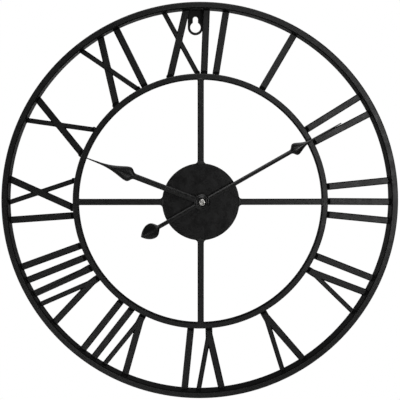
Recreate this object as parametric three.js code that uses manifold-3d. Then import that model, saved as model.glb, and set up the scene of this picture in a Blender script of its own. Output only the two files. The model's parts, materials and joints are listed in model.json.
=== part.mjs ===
// A battery wall clock of welded steel: an outer ring and a dial ring joined by Roman numerals cut
// from sheet, four spokes, a centre disc, two spade hands and a quartz movement with its gear train.
// Units are millimetres. The wall is the plane y = 0, the clock faces -Y, +Z is up, and the
// origin is the middle of the outer ring's back. Angles on the dial run clockwise from twelve.

import * as THREE from "three";
import { mergeVertices } from "three/addons/utils/BufferGeometryUtils.js";
import Module from "manifold-3d";

const wasm = await Module();
wasm.setup();

// ---------- Clearances ----------
const WELD_GAP = 0.2; // between pieces that are welded together
const PRESS_GAP = 0.1; // between pieces that are pushed or screwed together
const RUNNING_GAP = 0.3; // between pieces that turn or slide on each other
const CUT_OVERRUN = 1; // how far a cutting solid stands past what it cuts

// ---------- Frame ----------
const CLOCK_DIAMETER = 400;
const RING_WIDTH = 6; // radial width of the outer ring's flat bar
const RING_CHAMFER = 0.5;
const DIAL_RING_DIAMETER = 258;
const DIAL_RING_WIDTH = 6;
const DIAL_RING_DEPTH = 8;
const DIAL_SETBACK = 2; // dial ring, spokes and disc behind the outer ring's front
const DISC_DIAMETER = 78;
const DISC_THICKNESS = 1.2;
const SPOKE_WIDTH = 5.8;
const SPOKE_THICKNESS = 3;
const SPOKE_DISC_FLARE = 3.2; // added on each side where a spoke meets the disc
const SPOKE_DISC_FLARE_LENGTH = 5;
const SPOKE_RING_FLARE = 1; // added on each side where a spoke meets the dial ring
const SPOKE_RING_FLARE_LENGTH = 1.5;
const RING_SEGMENTS = 120;

// ---------- Numerals ----------
const NUMERAL_THICKNESS = 2;
const WIDE_STROKE = 7;
const NARROW_STROKE = 5;
const DRAWN_STROKE = 7; // the wide stroke that the next three figures and the table are drawn for
const ACROSS_SCALE = WIDE_STROKE / DRAWN_STROKE; // a wider stroke spreads its numeral
const X_INNER_REACH = 13.3 * ACROSS_SCALE; // from an X's middle line to its strokes at the dial ring
const X_OUTER_REACH = 12.2 * ACROSS_SCALE;
const V_REACH = 12.1 * ACROSS_SCALE; // from a V's middle line to its strokes at the outer ring
const V_STEM = 6; // the single width at a V's foot
const DEGREES_PER_HOUR = 30;

// The pieces of each hour in reading order. The two figures say how far a piece's middle line
// stands clockwise of the hour's radius, first at the dial ring and then at the outer ring.
// The clock is welded by hand, so the pieces are a little uneven.
const NUMERALS = [
  { hour: 1, pieces: [["I", -3, -2.5]] },
  { hour: 2, pieces: [["I", -9.5, -11.5], ["I", 5.5, 8.5]] },
  { hour: 3, pieces: [["I", -15, -21.5], ["I", 0, 0.5], ["I", 13.5, 20]] },
  { hour: 4, pieces: [["I", -10.5, -20], ["V", 5.5, 8.5]] },
  { hour: 5, pieces: [["V", 1, 2]] },
  { hour: 6, pieces: [["V", -8.5, -10], ["I", 10, 16.5]] },
  { hour: 7, pieces: [["V", -7, -10], ["I", 6, 15], ["I", 19.5, 29]] },
  { hour: 8, pieces: [["V", -15, -21], ["I", -3, 3.5], ["I", 9.5, 19], ["I", 22.5, 34]] },
  { hour: 9, pieces: [["I", -14, -18.5], ["X", 7.5, 11.5]] },
  { hour: 10, pieces: [["X", -4, -4.5]] },
  { hour: 11, pieces: [["X", -11, -16.5], ["I", 9.5, 13.5]] },
  { hour: 12, pieces: [["X", -16.5, -26.5], ["I", 3.5, 6], ["I", 15.5, 26]] },
];

// ---------- Hanger ----------
const HANGER_OFFSET = -5; // left of the middle
const HANGER_WIDTH = 15.6;
const HANGER_THICKNESS = 1.5;
const HANGER_STANDOFF = 1.5; // from the wall
const KEYHOLE_DIAMETER = 10.6;
const KEYHOLE_BELOW_RING = 17.5; // from the outer ring's inner wall down to the keyhole's centre
const KEYHOLE_SLOT_WIDTH = 5.2;
const KEYHOLE_SLOT_LENGTH = 8.2; // from the keyhole's centre to the slot's end centre

// ---------- Hands ----------
const HOUR_HAND_ANGLE = 291;
const MINUTE_HAND_ANGLE = 60.4;
const HAND_THICKNESS = 0.8;
const HOUR_HUB_DIAMETER = 15;
const HOUR_STEM_WIDTH = 5.6;
const HOUR_SPADE_START = 71.5;
const HOUR_SPADE_WIDTH = 14.8;
const HOUR_SPADE_LENGTH = 38.5;
const HOUR_NEEDLE_WIDTH = 1.2;
const HOUR_HAND_REACH = 124;
const MINUTE_HUB_DIAMETER = 16.4;
const MINUTE_STEM_WIDTH = 3.4;
const MINUTE_SPADE_START = 101.5;
const MINUTE_SPADE_WIDTH = 12.1;
const MINUTE_SPADE_LENGTH = 22.5;
const MINUTE_NEEDLE_WIDTH = 1.4;
const MINUTE_HAND_REACH = 160.5;
const TAIL_START = 50;
const TAIL_WIDTH = 15.9;
const TAIL_REACH = 70.5;
const HAND_NUT_DIAMETER = 6.8;
const HAND_NUT_HEIGHT = 2.8;

// ---------- Movement ----------
const SHAFT_OFFSET = 1.2; // the movement sits this far right of the disc's middle
const CASE_CORNER = 4;
const CASE_WALL = 1.2;
const CASE_FRONT_WALL = 1.5;
const CHAMBER_DROP = 10.9; // from the shaft down to the gear chamber's floor
const CELL_BEHIND_CASE = 0.6; // how far the cell's back stands past the case's, inside the cover's depth
const WALL_CLEARANCE = 0.3; // between the rear cover and the wall
const COVER_THICKNESS = 1;
const PARTITION_WALL = 1;
const BAY_FRONT_WALL = 0.9;
const RUBBER_THICKNESS = 0.5;
const RUBBER_DIAMETER = 18;
const BUSH_RADIUS = 4;
const BUSH_NUT_WALL = 1.5; // least wall of the nut round the bush
const WASHER_DIAMETER = 16;
const WASHER_THICKNESS = 0.5;
const BUSH_NUT_HEIGHT = 2.2;
const BUSH_THREAD_SHOWING = 1; // the bush in front of its nut
const PIPE_WALL = 0.7; // the hour wheel's pipe
const CANNON_RADIUS = 1.7;
const CANNON_WALL = 0.9;
const ARBOR_RADIUS = 0.5;
const PIVOT_DEPTH = 0.4; // how far an arbor enters its bearing
const COLLET_WALL = 1.3;
const PIPE_SHOWING = 2.2; // the hour wheel's pipe in front of the bush

// ---------- Battery ----------
const CELL_DIAMETER = 14.5;
const CELL_LENGTH = 50.5;
const CELL_NUB_DIAMETER = 5.4;
const CELL_NUB_HEIGHT = 1;
const CELL_CLEARANCE = 0.2; // around the cell in its bay
const CONTACT_THICKNESS = 0.4;
const CONTACT_WIDTH = 8;

// ---------- Gear train ----------
const WHEEL_THICKNESS = 0.8;
const PINION_MARGIN = 0.3; // a pinion stands this far past each face of the wheel that it drives
const LAYER_GAP = 0.4; // between neighbouring wheels along the shaft
const CANNON_TEETH = 12;
const MINUTE_WORK_TEETH = 36;
const MINUTE_WORK_PINION_TEETH = 8;
const HOUR_TEETH = 32;
const KNOB_TEETH = 12;
const MOTION_MODULE = 0.4; // of the cannon pinion, the minute work wheel and the knob
const CENTRE_TEETH = 48;
const THIRD_PINION_TEETH = 6;
const THIRD_TEETH = 45;
const SECONDS_PINION_TEETH = 6;
const CENTRE_MODULE = 0.875 * MOTION_MODULE; // the train grows with the motion work, to clear it
const SECONDS_TEETH = 48;
const STEP_PINION_TEETH = 8;
const SECONDS_MODULE = 0.85 * MOTION_MODULE;
const STEP_TEETH = 40;
const ROTOR_TEETH = 8;
const ROTOR_MODULE = 0.25;
const MINUTE_WORK_DIRECTION = 135; // these four are anticlockwise from +X, seen from the front
const KNOB_DIRECTION = 150;
const THIRD_DIRECTION = 40;
const STEP_DIRECTION = -20;
const ROTOR_DIRECTION = -5;
const KNOB_RADIUS = 5;
const KNOB_SHAFT_RADIUS = 1;
const KNOB_HEIGHT = 2;
const KNOB_SETBACK = 0.5; // from the wall
const TRAIN_PLATE_THICKNESS = 0.8;
const MAGNET_RADIUS = 2.5;
const MAGNET_HEIGHT = 1.6;
const STATOR_THICKNESS = 0.8;
const COIL_LENGTH = 22;
const COIL_FLANGE_RADIUS = 3.2;
const COIL_FLANGE_THICKNESS = 0.8;
const COIL_CORE_RADIUS = 1.9;
const COIL_WIRE_RADIUS = 2.9;
const COIL_STRIP_WIDTH = 2;
const BOARD_LENGTH = 22;
const BOARD_WIDTH = 9;
const BOARD_THICKNESS = 0.8;
const CRYSTAL_RADIUS = 1;
const CRYSTAL_LENGTH = 6;

// A tooth is a trapezium. Heights are shares of the module, half widths shares of the pitch angle.
const TOOTH_ADDENDUM = 0.8;
const TOOTH_DEDENDUM = 1.15;
const TOOTH_ROOT_HALF = 0.27;
const TOOTH_TIP_HALF = 0.11;

// ---------- Places that follow from the sizes ----------
const OUTER_RADIUS = CLOCK_DIAMETER / 2;
const OUTER_INNER_RADIUS = OUTER_RADIUS - RING_WIDTH;
const DIAL_RADIUS = DIAL_RING_DIAMETER / 2;
const DIAL_INNER_RADIUS = DIAL_RADIUS - DIAL_RING_WIDTH;
const DISC_RADIUS = DISC_DIAMETER / 2;
const NUMERAL_START = DIAL_RADIUS + WELD_GAP;
const NUMERAL_END = OUTER_INNER_RADIUS - WELD_GAP;

const BAY_HEIGHT = CELL_DIAMETER + 2 * CELL_CLEARANCE;
const CASE_SIZE = 2 * (CHAMBER_DROP + PARTITION_WALL + BAY_HEIGHT + CASE_WALL);
const CASE_DEPTH = BAY_FRONT_WALL + CELL_CLEARANCE + CELL_DIAMETER - CELL_BEHIND_CASE;

// The outer ring is as deep as the movement behind the disc, so that neither stands past the wall.
const DISC_STACK = DISC_THICKNESS + RUBBER_THICKNESS;
const RING_DEPTH = DIAL_SETBACK + DISC_STACK + CASE_DEPTH + COVER_THICKNESS + WALL_CLEARANCE;
const RING_FRONT = -RING_DEPTH;
const DIAL_FRONT = RING_FRONT + DIAL_SETBACK;
const DIAL_BACK = DIAL_FRONT + DIAL_RING_DEPTH;
const NUMERAL_FRONT = DIAL_BACK - NUMERAL_THICKNESS;
const DISC_BACK = DIAL_FRONT + DISC_THICKNESS;

const CASE_FRONT = DISC_BACK + RUBBER_THICKNESS;
const CASE_BACK = CASE_FRONT + CASE_DEPTH;
const CHAMBER_FRONT = CASE_FRONT + CASE_FRONT_WALL;
const COVER_BACK = CASE_BACK + COVER_THICKNESS;
const CASE_INSIDE = CASE_SIZE / 2 - CASE_WALL;
const BAY_TOP = -CASE_INSIDE + BAY_HEIGHT;
const CHAMBER_BOTTOM = BAY_TOP + PARTITION_WALL;
const CELL_HEIGHT = -CASE_INSIDE + BAY_HEIGHT / 2;

const WASHER_FRONT = DIAL_FRONT - WASHER_THICKNESS;
const BUSH_NUT_FRONT = WASHER_FRONT - BUSH_NUT_HEIGHT;
const BUSH_FRONT = BUSH_NUT_FRONT - BUSH_THREAD_SHOWING;
const PIPE_FRONT = BUSH_FRONT - PIPE_SHOWING;
const BUSH_NUT_ACROSS_FLATS = 2 * (BUSH_RADIUS + BUSH_NUT_WALL);
const PIPE_BORE = CANNON_RADIUS + RUNNING_GAP;
const PIPE_RADIUS = PIPE_BORE + PIPE_WALL;
const BUSH_BORE = PIPE_RADIUS + RUNNING_GAP;
const CANNON_BORE = CANNON_RADIUS - CANNON_WALL;
const HOUR_HAND_FRONT = PIPE_FRONT + PRESS_GAP;
const MINUTE_COLLET_BACK = PIPE_FRONT - RUNNING_GAP;
const MINUTE_HAND_BACK = MINUTE_COLLET_BACK - HAND_THICKNESS;
const MINUTE_HAND_FRONT = MINUTE_HAND_BACK - HAND_THICKNESS;
const HAND_NUT_BACK = MINUTE_HAND_FRONT - PRESS_GAP;
const HAND_NUT_FRONT = HAND_NUT_BACK - HAND_NUT_HEIGHT;
const CANNON_FRONT = HAND_NUT_BACK - 0.7 * HAND_NUT_HEIGHT;

// The wheels' layers, from the front of the movement to its back. Each figure is a wheel's front.
const HOUR_LAYER = CHAMBER_FRONT + LAYER_GAP;
const MINUTE_WORK_LAYER = HOUR_LAYER + WHEEL_THICKNESS + LAYER_GAP;
const CENTRE_LAYER = MINUTE_WORK_LAYER + WHEEL_THICKNESS + PINION_MARGIN + LAYER_GAP;
const THIRD_LAYER = CENTRE_LAYER + WHEEL_THICKNESS + PINION_MARGIN + LAYER_GAP;
const SECONDS_LAYER = THIRD_LAYER + WHEEL_THICKNESS + PINION_MARGIN + LAYER_GAP;
const STEP_LAYER = SECONDS_LAYER + WHEEL_THICKNESS + PINION_MARGIN + LAYER_GAP;
const MAGNET_LAYER = STEP_LAYER + WHEEL_THICKNESS + PINION_MARGIN + LAYER_GAP;
const STATOR_LAYER = MAGNET_LAYER + (MAGNET_HEIGHT - STATOR_THICKNESS) / 2;
const TRAIN_PLATE_FRONT = MAGNET_LAYER + MAGNET_HEIGHT + LAYER_GAP;
const ARBOR_FRONT = CHAMBER_FRONT - PIVOT_DEPTH;
const ARBOR_BACK = TRAIN_PLATE_FRONT + TRAIN_PLATE_THICKNESS - RUNNING_GAP;
const KNOB_BACK = -KNOB_SETBACK;
const KNOB_FRONT = KNOB_BACK - KNOB_HEIGHT;

// The distance between two gears' axes, and the axes themselves in the plane of the dial.
const MOTION_DISTANCE = (MOTION_MODULE * (CANNON_TEETH + MINUTE_WORK_TEETH)) / 2;
const HOUR_MODULE = (2 * MOTION_DISTANCE) / (MINUTE_WORK_PINION_TEETH + HOUR_TEETH);
const KNOB_DISTANCE = (MOTION_MODULE * (KNOB_TEETH + MINUTE_WORK_TEETH)) / 2;
const THIRD_DISTANCE = (CENTRE_MODULE * (CENTRE_TEETH + THIRD_PINION_TEETH)) / 2;
const THIRD_MODULE = (2 * THIRD_DISTANCE) / (THIRD_TEETH + SECONDS_PINION_TEETH);
const ROTOR_DISTANCE = (ROTOR_MODULE * (STEP_TEETH + ROTOR_TEETH)) / 2;
// The step wheel's pinion stands clear of the seconds wheel, because the two are not coupled.
const STEP_DISTANCE =
  SECONDS_MODULE * ((SECONDS_TEETH + STEP_PINION_TEETH) / 2 + 2 * TOOTH_ADDENDUM) + RUNNING_GAP;

const SHAFT = { x: SHAFT_OFFSET, z: 0 };
const MINUTE_WORK = stepFrom(SHAFT, MINUTE_WORK_DIRECTION, MOTION_DISTANCE);
const KNOB = stepFrom(MINUTE_WORK, KNOB_DIRECTION, KNOB_DISTANCE);
const THIRD = stepFrom(SHAFT, THIRD_DIRECTION, THIRD_DISTANCE);
const STEP = stepFrom(SHAFT, STEP_DIRECTION, STEP_DISTANCE);
const ROTOR = stepFrom(STEP, ROTOR_DIRECTION, ROTOR_DISTANCE);

// ---------- Geometry helpers ----------

// The point at a distance from another in a direction in degrees, anticlockwise from +X.
function stepFrom(start, degrees, distance) {
  const angle = THREE.MathUtils.degToRad(degrees);
  return { x: start.x + distance * Math.cos(angle), z: start.z + distance * Math.sin(angle) };
}

// A closed three.js geometry as a manifold solid.
function toSolid(geometry) {
  const bare = geometry.clone();
  bare.deleteAttribute("normal");
  bare.deleteAttribute("uv");
  const merged = mergeVertices(bare, 1e-5);
  const vertProperties = new Float32Array(merged.attributes.position.array);
  const triVerts = new Uint32Array(merged.index.array);
  return new wasm.Manifold(new wasm.Mesh({ numProp: 3, vertProperties, triVerts }));
}

// A manifold solid as a three.js geometry.
function toGeometry(solid) {
  const mesh = solid.getMesh();
  const geometry = new THREE.BufferGeometry();
  geometry.setAttribute("position", new THREE.BufferAttribute(mesh.vertProperties, 3));
  geometry.setIndex(new THREE.BufferAttribute(mesh.triVerts, 1));
  geometry.computeVertexNormals();
  return geometry;
}

function join(...geometries) {
  const solids = geometries.map(toSolid);
  return toGeometry(solids.reduce((whole, solid) => whole.add(solid)));
}

function cut(geometry, ...cutters) {
  const solids = cutters.map(toSolid);
  return toGeometry(solids.reduce((whole, solid) => whole.subtract(solid), toSolid(geometry)));
}

function keep(geometry, region) {
  return toGeometry(toSolid(geometry).intersect(toSolid(region)));
}

// A flat plate from an outline in the plane of the dial: the shape's x and y become x and z.
function plate(shape, front, thickness, curveSegments = 6) {
  const settings = { depth: thickness, bevelEnabled: false, curveSegments };
  const geometry = new THREE.ExtrudeGeometry(shape, settings);
  geometry.rotateX(Math.PI / 2);
  geometry.translate(0, front + thickness, 0);
  return geometry;
}

// A solid turned about the Y axis from [radius, y] corners listed anticlockwise.
function turned(corners, segments = 24) {
  const profile = corners.map(([radius, y]) => new THREE.Vector2(radius, y));
  return new THREE.LatheGeometry(profile, segments);
}

// A tube about the Y axis.
function tube(inner, outer, front, back, segments = 24) {
  const corners = [
    [inner, front],
    [outer, front],
    [outer, back],
    [inner, back],
    [inner, front],
  ];
  return turned(corners, segments);
}

// A round rod along Y.
function rod(radius, front, back, place, segments = 24) {
  const geometry = new THREE.CylinderGeometry(radius, radius, back - front, segments);
  geometry.translate(place.x, (front + back) / 2, place.z);
  return geometry;
}

// A block from its lowest and highest corners.
function block(low, high) {
  const size = high.map((value, axis) => value - low[axis]);
  const geometry = new THREE.BoxGeometry(...size);
  geometry.translate(...low.map((value, axis) => value + size[axis] / 2));
  return geometry;
}

function moved(geometry, place) {
  geometry.translate(place.x, 0, place.z);
  return geometry;
}

function polygon(points) {
  return new THREE.Shape(points.map(([x, y]) => new THREE.Vector2(x, y)));
}

function circleHole(radius, x = 0, y = 0) {
  return new THREE.Path().absarc(x, y, radius, 0, 2 * Math.PI, true);
}

function roundedSquare(size, corner) {
  const half = size / 2;
  const straight = half - corner;
  const shape = new THREE.Shape();
  shape.absarc(straight, straight, corner, 0, Math.PI / 2);
  shape.absarc(-straight, straight, corner, Math.PI / 2, Math.PI);
  shape.absarc(-straight, -straight, corner, Math.PI, 1.5 * Math.PI);
  shape.absarc(straight, -straight, corner, 1.5 * Math.PI, 2 * Math.PI);
  return shape;
}

// ---------- Materials ----------
function blackPaint() {
  return new THREE.MeshStandardMaterial({ color: 0x161616, roughness: 0.45, metalness: 0.2 });
}

function bareSteel() {
  return new THREE.MeshStandardMaterial({ color: 0xb4b6b8, roughness: 0.3, metalness: 1 });
}

function brass() {
  return new THREE.MeshStandardMaterial({ color: 0xb08d3c, roughness: 0.35, metalness: 1 });
}

function copper() {
  return new THREE.MeshStandardMaterial({ color: 0xb0562c, roughness: 0.4, metalness: 0.8 });
}

function plastic(color) {
  return new THREE.MeshStandardMaterial({ color, roughness: 0.55, metalness: 0 });
}

function rubber() {
  return new THREE.MeshStandardMaterial({ color: 0x1c1c1c, roughness: 0.9, metalness: 0 });
}

const clock = new THREE.Group();

function addPart(name, geometry, material) {
  const mesh = new THREE.Mesh(geometry, material);
  mesh.name = name;
  clock.add(mesh);
}

// ---------- Frame ----------

// A flat bar bent to a ring, with its two front edges chamfered.
function barRing(inner, outer, front, back) {
  const corners = [
    [inner + RING_CHAMFER, front],
    [outer - RING_CHAMFER, front],
    [outer, front + RING_CHAMFER],
    [outer, back],
    [inner, back],
    [inner, front + RING_CHAMFER],
    [inner + RING_CHAMFER, front],
  ];
  return turned(corners, RING_SEGMENTS);
}

// The ring-shaped space between two radii, deep enough to trim anything in the frame.
function frameBand(inner, outer) {
  return tube(inner, outer, RING_FRONT - CUT_OVERRUN, CUT_OVERRUN, RING_SEGMENTS);
}

function discGeometry() {
  const hole = BUSH_RADIUS + SHAFT_OFFSET + RUNNING_GAP;
  return tube(hole, DISC_RADIUS, DIAL_FRONT, DISC_BACK, RING_SEGMENTS);
}

// A spoke pointing up, with a flare at each end.
function spokeGeometry() {
  const half = SPOKE_WIDTH / 2;
  const start = DISC_RADIUS - SPOKE_DISC_FLARE_LENGTH;
  const end = DIAL_INNER_RADIUS + SPOKE_RING_FLARE_LENGTH;
  const discSide = DISC_RADIUS + SPOKE_DISC_FLARE_LENGTH;
  const ringSide = DIAL_INNER_RADIUS - SPOKE_RING_FLARE_LENGTH;
  const shape = new THREE.Shape();
  shape.moveTo(-half - SPOKE_DISC_FLARE, start);
  shape.lineTo(half + SPOKE_DISC_FLARE, start);
  shape.lineTo(half + SPOKE_DISC_FLARE, DISC_RADIUS);
  shape.quadraticCurveTo(half, DISC_RADIUS, half, discSide);
  shape.lineTo(half, ringSide);
  shape.quadraticCurveTo(half, DIAL_INNER_RADIUS, half + SPOKE_RING_FLARE, DIAL_INNER_RADIUS);
  shape.lineTo(half + SPOKE_RING_FLARE, end);
  shape.lineTo(-half - SPOKE_RING_FLARE, end);
  shape.lineTo(-half - SPOKE_RING_FLARE, DIAL_INNER_RADIUS);
  shape.quadraticCurveTo(-half, DIAL_INNER_RADIUS, -half, ringSide);
  shape.lineTo(-half, discSide);
  shape.quadraticCurveTo(-half, DISC_RADIUS, -half - SPOKE_DISC_FLARE, DISC_RADIUS);
  return plate(shape, DIAL_FRONT, SPOKE_THICKNESS, 4);
}

function addFrame() {
  const outerRing = barRing(OUTER_INNER_RADIUS, OUTER_RADIUS, RING_FRONT, 0);
  addPart("outer_ring", outerRing, blackPaint());
  const dialRing = barRing(DIAL_INNER_RADIUS, DIAL_RADIUS, DIAL_FRONT, DIAL_BACK);
  addPart("dial_ring", dialRing, blackPaint());
  addPart("centre_disc", discGeometry(), blackPaint());
  const spokeBand = frameBand(DISC_RADIUS + WELD_GAP, DIAL_INNER_RADIUS - WELD_GAP);
  ["top", "right", "bottom", "left"].forEach((side, index) => {
    const spoke = spokeGeometry();
    spoke.rotateY((index * Math.PI) / 2);
    addPart(`spoke_${side}`, keep(spoke, spokeBand), blackPaint());
  });
}

// A plate behind the twelve with a keyhole for a wall screw. It hangs down from the outer ring.
function addHanger() {
  const half = HANGER_WIDTH / 2;
  const holeHeight = OUTER_INNER_RADIUS - KEYHOLE_BELOW_RING;
  const slotHalf = KEYHOLE_SLOT_WIDTH / 2;
  const slotEnd = holeHeight + KEYHOLE_SLOT_LENGTH;
  const shape = new THREE.Shape();
  shape.moveTo(half, OUTER_RADIUS);
  shape.lineTo(-half, OUTER_RADIUS);
  shape.lineTo(-half, holeHeight);
  shape.absarc(0, holeHeight, half, Math.PI, 2 * Math.PI);
  const shoulder = Math.asin(KEYHOLE_SLOT_WIDTH / KEYHOLE_DIAMETER);
  const keyhole = new THREE.Path();
  const top = Math.PI / 2;
  keyhole.absarc(0, holeHeight, KEYHOLE_DIAMETER / 2, top - shoulder, top + shoulder, true);
  keyhole.absarc(0, slotEnd, slotHalf, Math.PI, 0, true);
  shape.holes.push(keyhole);
  const front = -HANGER_STANDOFF - HANGER_THICKNESS;
  const geometry = plate(shape, front, HANGER_THICKNESS, 10);
  geometry.translate(HANGER_OFFSET, 0, 0);
  const region = rod(NUMERAL_END, RING_FRONT, CUT_OVERRUN, { x: 0, z: 0 }, RING_SEGMENTS);
  addPart("hanger_plate", keep(geometry, region), blackPaint());
}

// ---------- Numerals ----------
// A numeral piece is drawn with x clockwise of its hour's radius and y along that radius.

// A straight stroke through two points, run on past both rings.
function stroke(innerAcross, outerAcross, width) {
  const from = new THREE.Vector2(innerAcross, NUMERAL_START);
  const to = new THREE.Vector2(outerAcross, NUMERAL_END);
  const along = to.clone().sub(from).normalize();
  const side = new THREE.Vector2(along.y, -along.x).multiplyScalar(width / 2);
  const low = from.clone().addScaledVector(along, -RING_WIDTH);
  const high = to.clone().addScaledVector(along, RING_WIDTH);
  const corners = [
    low.clone().sub(side),
    low.clone().add(side),
    high.clone().add(side),
    high.clone().sub(side),
  ];
  return plate(new THREE.Shape(corners), NUMERAL_FRONT, NUMERAL_THICKNESS);
}

// A V as one outline: a stem, then a wide leg anticlockwise and a narrow leg clockwise.
function letterV(innerAcross, outerAcross) {
  const middle = (y) =>
    THREE.MathUtils.mapLinear(y, NUMERAL_START, NUMERAL_END, innerAcross, outerAcross);
  const fork = NUMERAL_START + V_STEM;
  const slope = V_REACH / (NUMERAL_END - fork);
  const wide = (WIDE_STROKE / 2) * Math.hypot(1, slope);
  const narrow = (NARROW_STROKE / 2) * Math.hypot(1, slope);
  const low = NUMERAL_START - RING_WIDTH;
  const high = NUMERAL_END + RING_WIDTH;
  const spread = slope * (high - fork);
  const notch = fork + (wide + narrow) / (2 * slope);
  const armpit = fork + (wide - narrow) / slope;
  const outline = [
    [-wide, low],
    [wide, low],
    [wide, armpit],
    [spread + narrow, high],
    [spread - narrow, high],
    [(wide - narrow) / 2, notch],
    [wide - spread, high],
    [-wide - spread, high],
    [-wide, fork],
  ];
  const shape = polygon(outline.map(([x, y]) => [x + middle(y), y]));
  return plate(shape, NUMERAL_FRONT, NUMERAL_THICKNESS);
}

// An X is two crossed strokes cut as one piece.
function letterX(innerAcross, outerAcross) {
  const wide = stroke(innerAcross - X_INNER_REACH, outerAcross + X_OUTER_REACH, WIDE_STROKE);
  const narrow = stroke(innerAcross + X_INNER_REACH, outerAcross - X_OUTER_REACH, NARROW_STROKE);
  return join(wide, narrow);
}

function numeralPiece(letter, innerAcross, outerAcross) {
  if (letter === "V") return letterV(innerAcross, outerAcross);
  if (letter === "X") return letterX(innerAcross, outerAcross);
  return stroke(innerAcross, outerAcross, WIDE_STROKE);
}

function addNumerals() {
  const band = frameBand(NUMERAL_START, NUMERAL_END);
  for (const { hour, pieces } of NUMERALS) {
    pieces.forEach(([letter, ...figures], index) => {
      const [innerAcross, outerAcross] = figures.map((figure) => figure * ACROSS_SCALE);
      const geometry = numeralPiece(letter, innerAcross, outerAcross);
      geometry.rotateY(THREE.MathUtils.degToRad(hour * DEGREES_PER_HOUR));
      const name = `numeral_${hour}_${letter.toLowerCase()}_${index + 1}`;
      addPart(name, keep(geometry, band), blackPaint());
    });
  }
}

// ---------- Hands ----------
// A hand is drawn pointing up from its own axis, then turned to its angle.

// The right half of a spade, from its shoulder round to its needle and the hand's tip.
function spadeSide(start, length, stemHalf, spadeHalf, needleHalf, reach) {
  const widest = start + 0.25 * length;
  const path = new THREE.Path();
  path.moveTo(stemHalf, start);
  const lift = 0.12 * length;
  path.bezierCurveTo(stemHalf, start + lift, spadeHalf, widest - lift, spadeHalf, widest);
  const shoulder = widest + 0.18 * length;
  const waist = widest + 0.4 * length;
  path.bezierCurveTo(spadeHalf, shoulder, 0.2 * spadeHalf, waist, needleHalf, start + length);
  path.lineTo(0.6 * needleHalf, reach);
  return path;
}

// A whole hand outline from its right side, mirrored to the left.
function handShape(rightSide) {
  const leftSide = rightSide.map((point) => new THREE.Vector2(-point.x, point.y)).reverse();
  const all = [...rightSide, ...leftSide];
  return new THREE.Shape(all.filter((point, index) => index === 0 || !point.equals(all[index - 1])));
}

function hourHandShape() {
  const stemHalf = HOUR_STEM_WIDTH / 2;
  const spade = spadeSide(
    HOUR_SPADE_START,
    HOUR_SPADE_LENGTH,
    stemHalf,
    HOUR_SPADE_WIDTH / 2,
    HOUR_NEEDLE_WIDTH / 2,
    HOUR_HAND_REACH,
  );
  return handShape([new THREE.Vector2(stemHalf, 0), ...spade.getPoints(6)]);
}

// The minute hand's tail is a leaf that ends in a point.
function tailSide(stemHalf) {
  const leafHalf = TAIL_WIDTH / 2;
  const length = TAIL_REACH - TAIL_START;
  const widest = TAIL_START + 0.39 * length;
  const path = new THREE.Path();
  path.moveTo(0, -TAIL_REACH);
  const belly = widest + 0.24 * length;
  const taper = TAIL_REACH - 0.13 * length;
  path.bezierCurveTo(0.53 * leafHalf, -taper, leafHalf, -belly, leafHalf, -widest);
  const throat = widest - 0.24 * length;
  const root = TAIL_START + 0.07 * length;
  path.bezierCurveTo(leafHalf, -throat, 1.4 * stemHalf, -root, stemHalf, -TAIL_START);
  return path;
}

function minuteHandShape() {
  const stemHalf = MINUTE_STEM_WIDTH / 2;
  const spade = spadeSide(
    MINUTE_SPADE_START,
    MINUTE_SPADE_LENGTH,
    stemHalf,
    MINUTE_SPADE_WIDTH / 2,
    MINUTE_NEEDLE_WIDTH / 2,
    MINUTE_HAND_REACH,
  );
  return handShape([...tailSide(stemHalf).getPoints(6), ...spade.getPoints(6)]);
}

// A hand with its round hub and the collet behind it that grips its pipe.
function handGeometry(shape, front, hubRadius, bore, colletBack, degrees) {
  const back = front + HAND_THICKNESS;
  const blade = plate(shape, front, HAND_THICKNESS);
  blade.rotateY(THREE.MathUtils.degToRad(degrees));
  const hub = rod(hubRadius, front, back, { x: 0, z: 0 }, 36);
  const collet = rod(bore + COLLET_WALL, front, colletBack, { x: 0, z: 0 });
  const hole = rod(bore, front - CUT_OVERRUN, colletBack + CUT_OVERRUN, { x: 0, z: 0 });
  return moved(cut(join(blade, hub, collet), hole), SHAFT);
}

// A domed round nut, closed in front, on the end of the cannon.
function handNutGeometry() {
  const radius = HAND_NUT_DIAMETER / 2;
  const dome = HAND_NUT_FRONT + 0.35 * HAND_NUT_HEIGHT;
  const corners = [
    [0, HAND_NUT_FRONT],
    [0.45 * radius, HAND_NUT_FRONT + 0.08 * HAND_NUT_HEIGHT],
    [0.82 * radius, HAND_NUT_FRONT + 0.2 * HAND_NUT_HEIGHT],
    [radius, dome],
    [radius, HAND_NUT_BACK],
    [CANNON_RADIUS + PRESS_GAP, HAND_NUT_BACK],
    [CANNON_RADIUS + PRESS_GAP, CANNON_FRONT - PRESS_GAP],
    [0, CANNON_FRONT - PRESS_GAP],
  ];
  return moved(turned(corners), SHAFT);
}

function addHands() {
  const hourHand = handGeometry(
    hourHandShape(),
    HOUR_HAND_FRONT,
    HOUR_HUB_DIAMETER / 2,
    PIPE_RADIUS + PRESS_GAP,
    BUSH_FRONT - RUNNING_GAP,
    HOUR_HAND_ANGLE,
  );
  addPart("hour_hand", hourHand, blackPaint());
  const minuteHand = handGeometry(
    minuteHandShape(),
    MINUTE_HAND_FRONT,
    MINUTE_HUB_DIAMETER / 2,
    CANNON_RADIUS + PRESS_GAP,
    MINUTE_COLLET_BACK,
    MINUTE_HAND_ANGLE,
  );
  addPart("minute_hand", minuteHand, blackPaint());
  addPart("hand_nut", handNutGeometry(), bareSteel());
}

// ---------- Movement case and its fixings ----------

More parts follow.
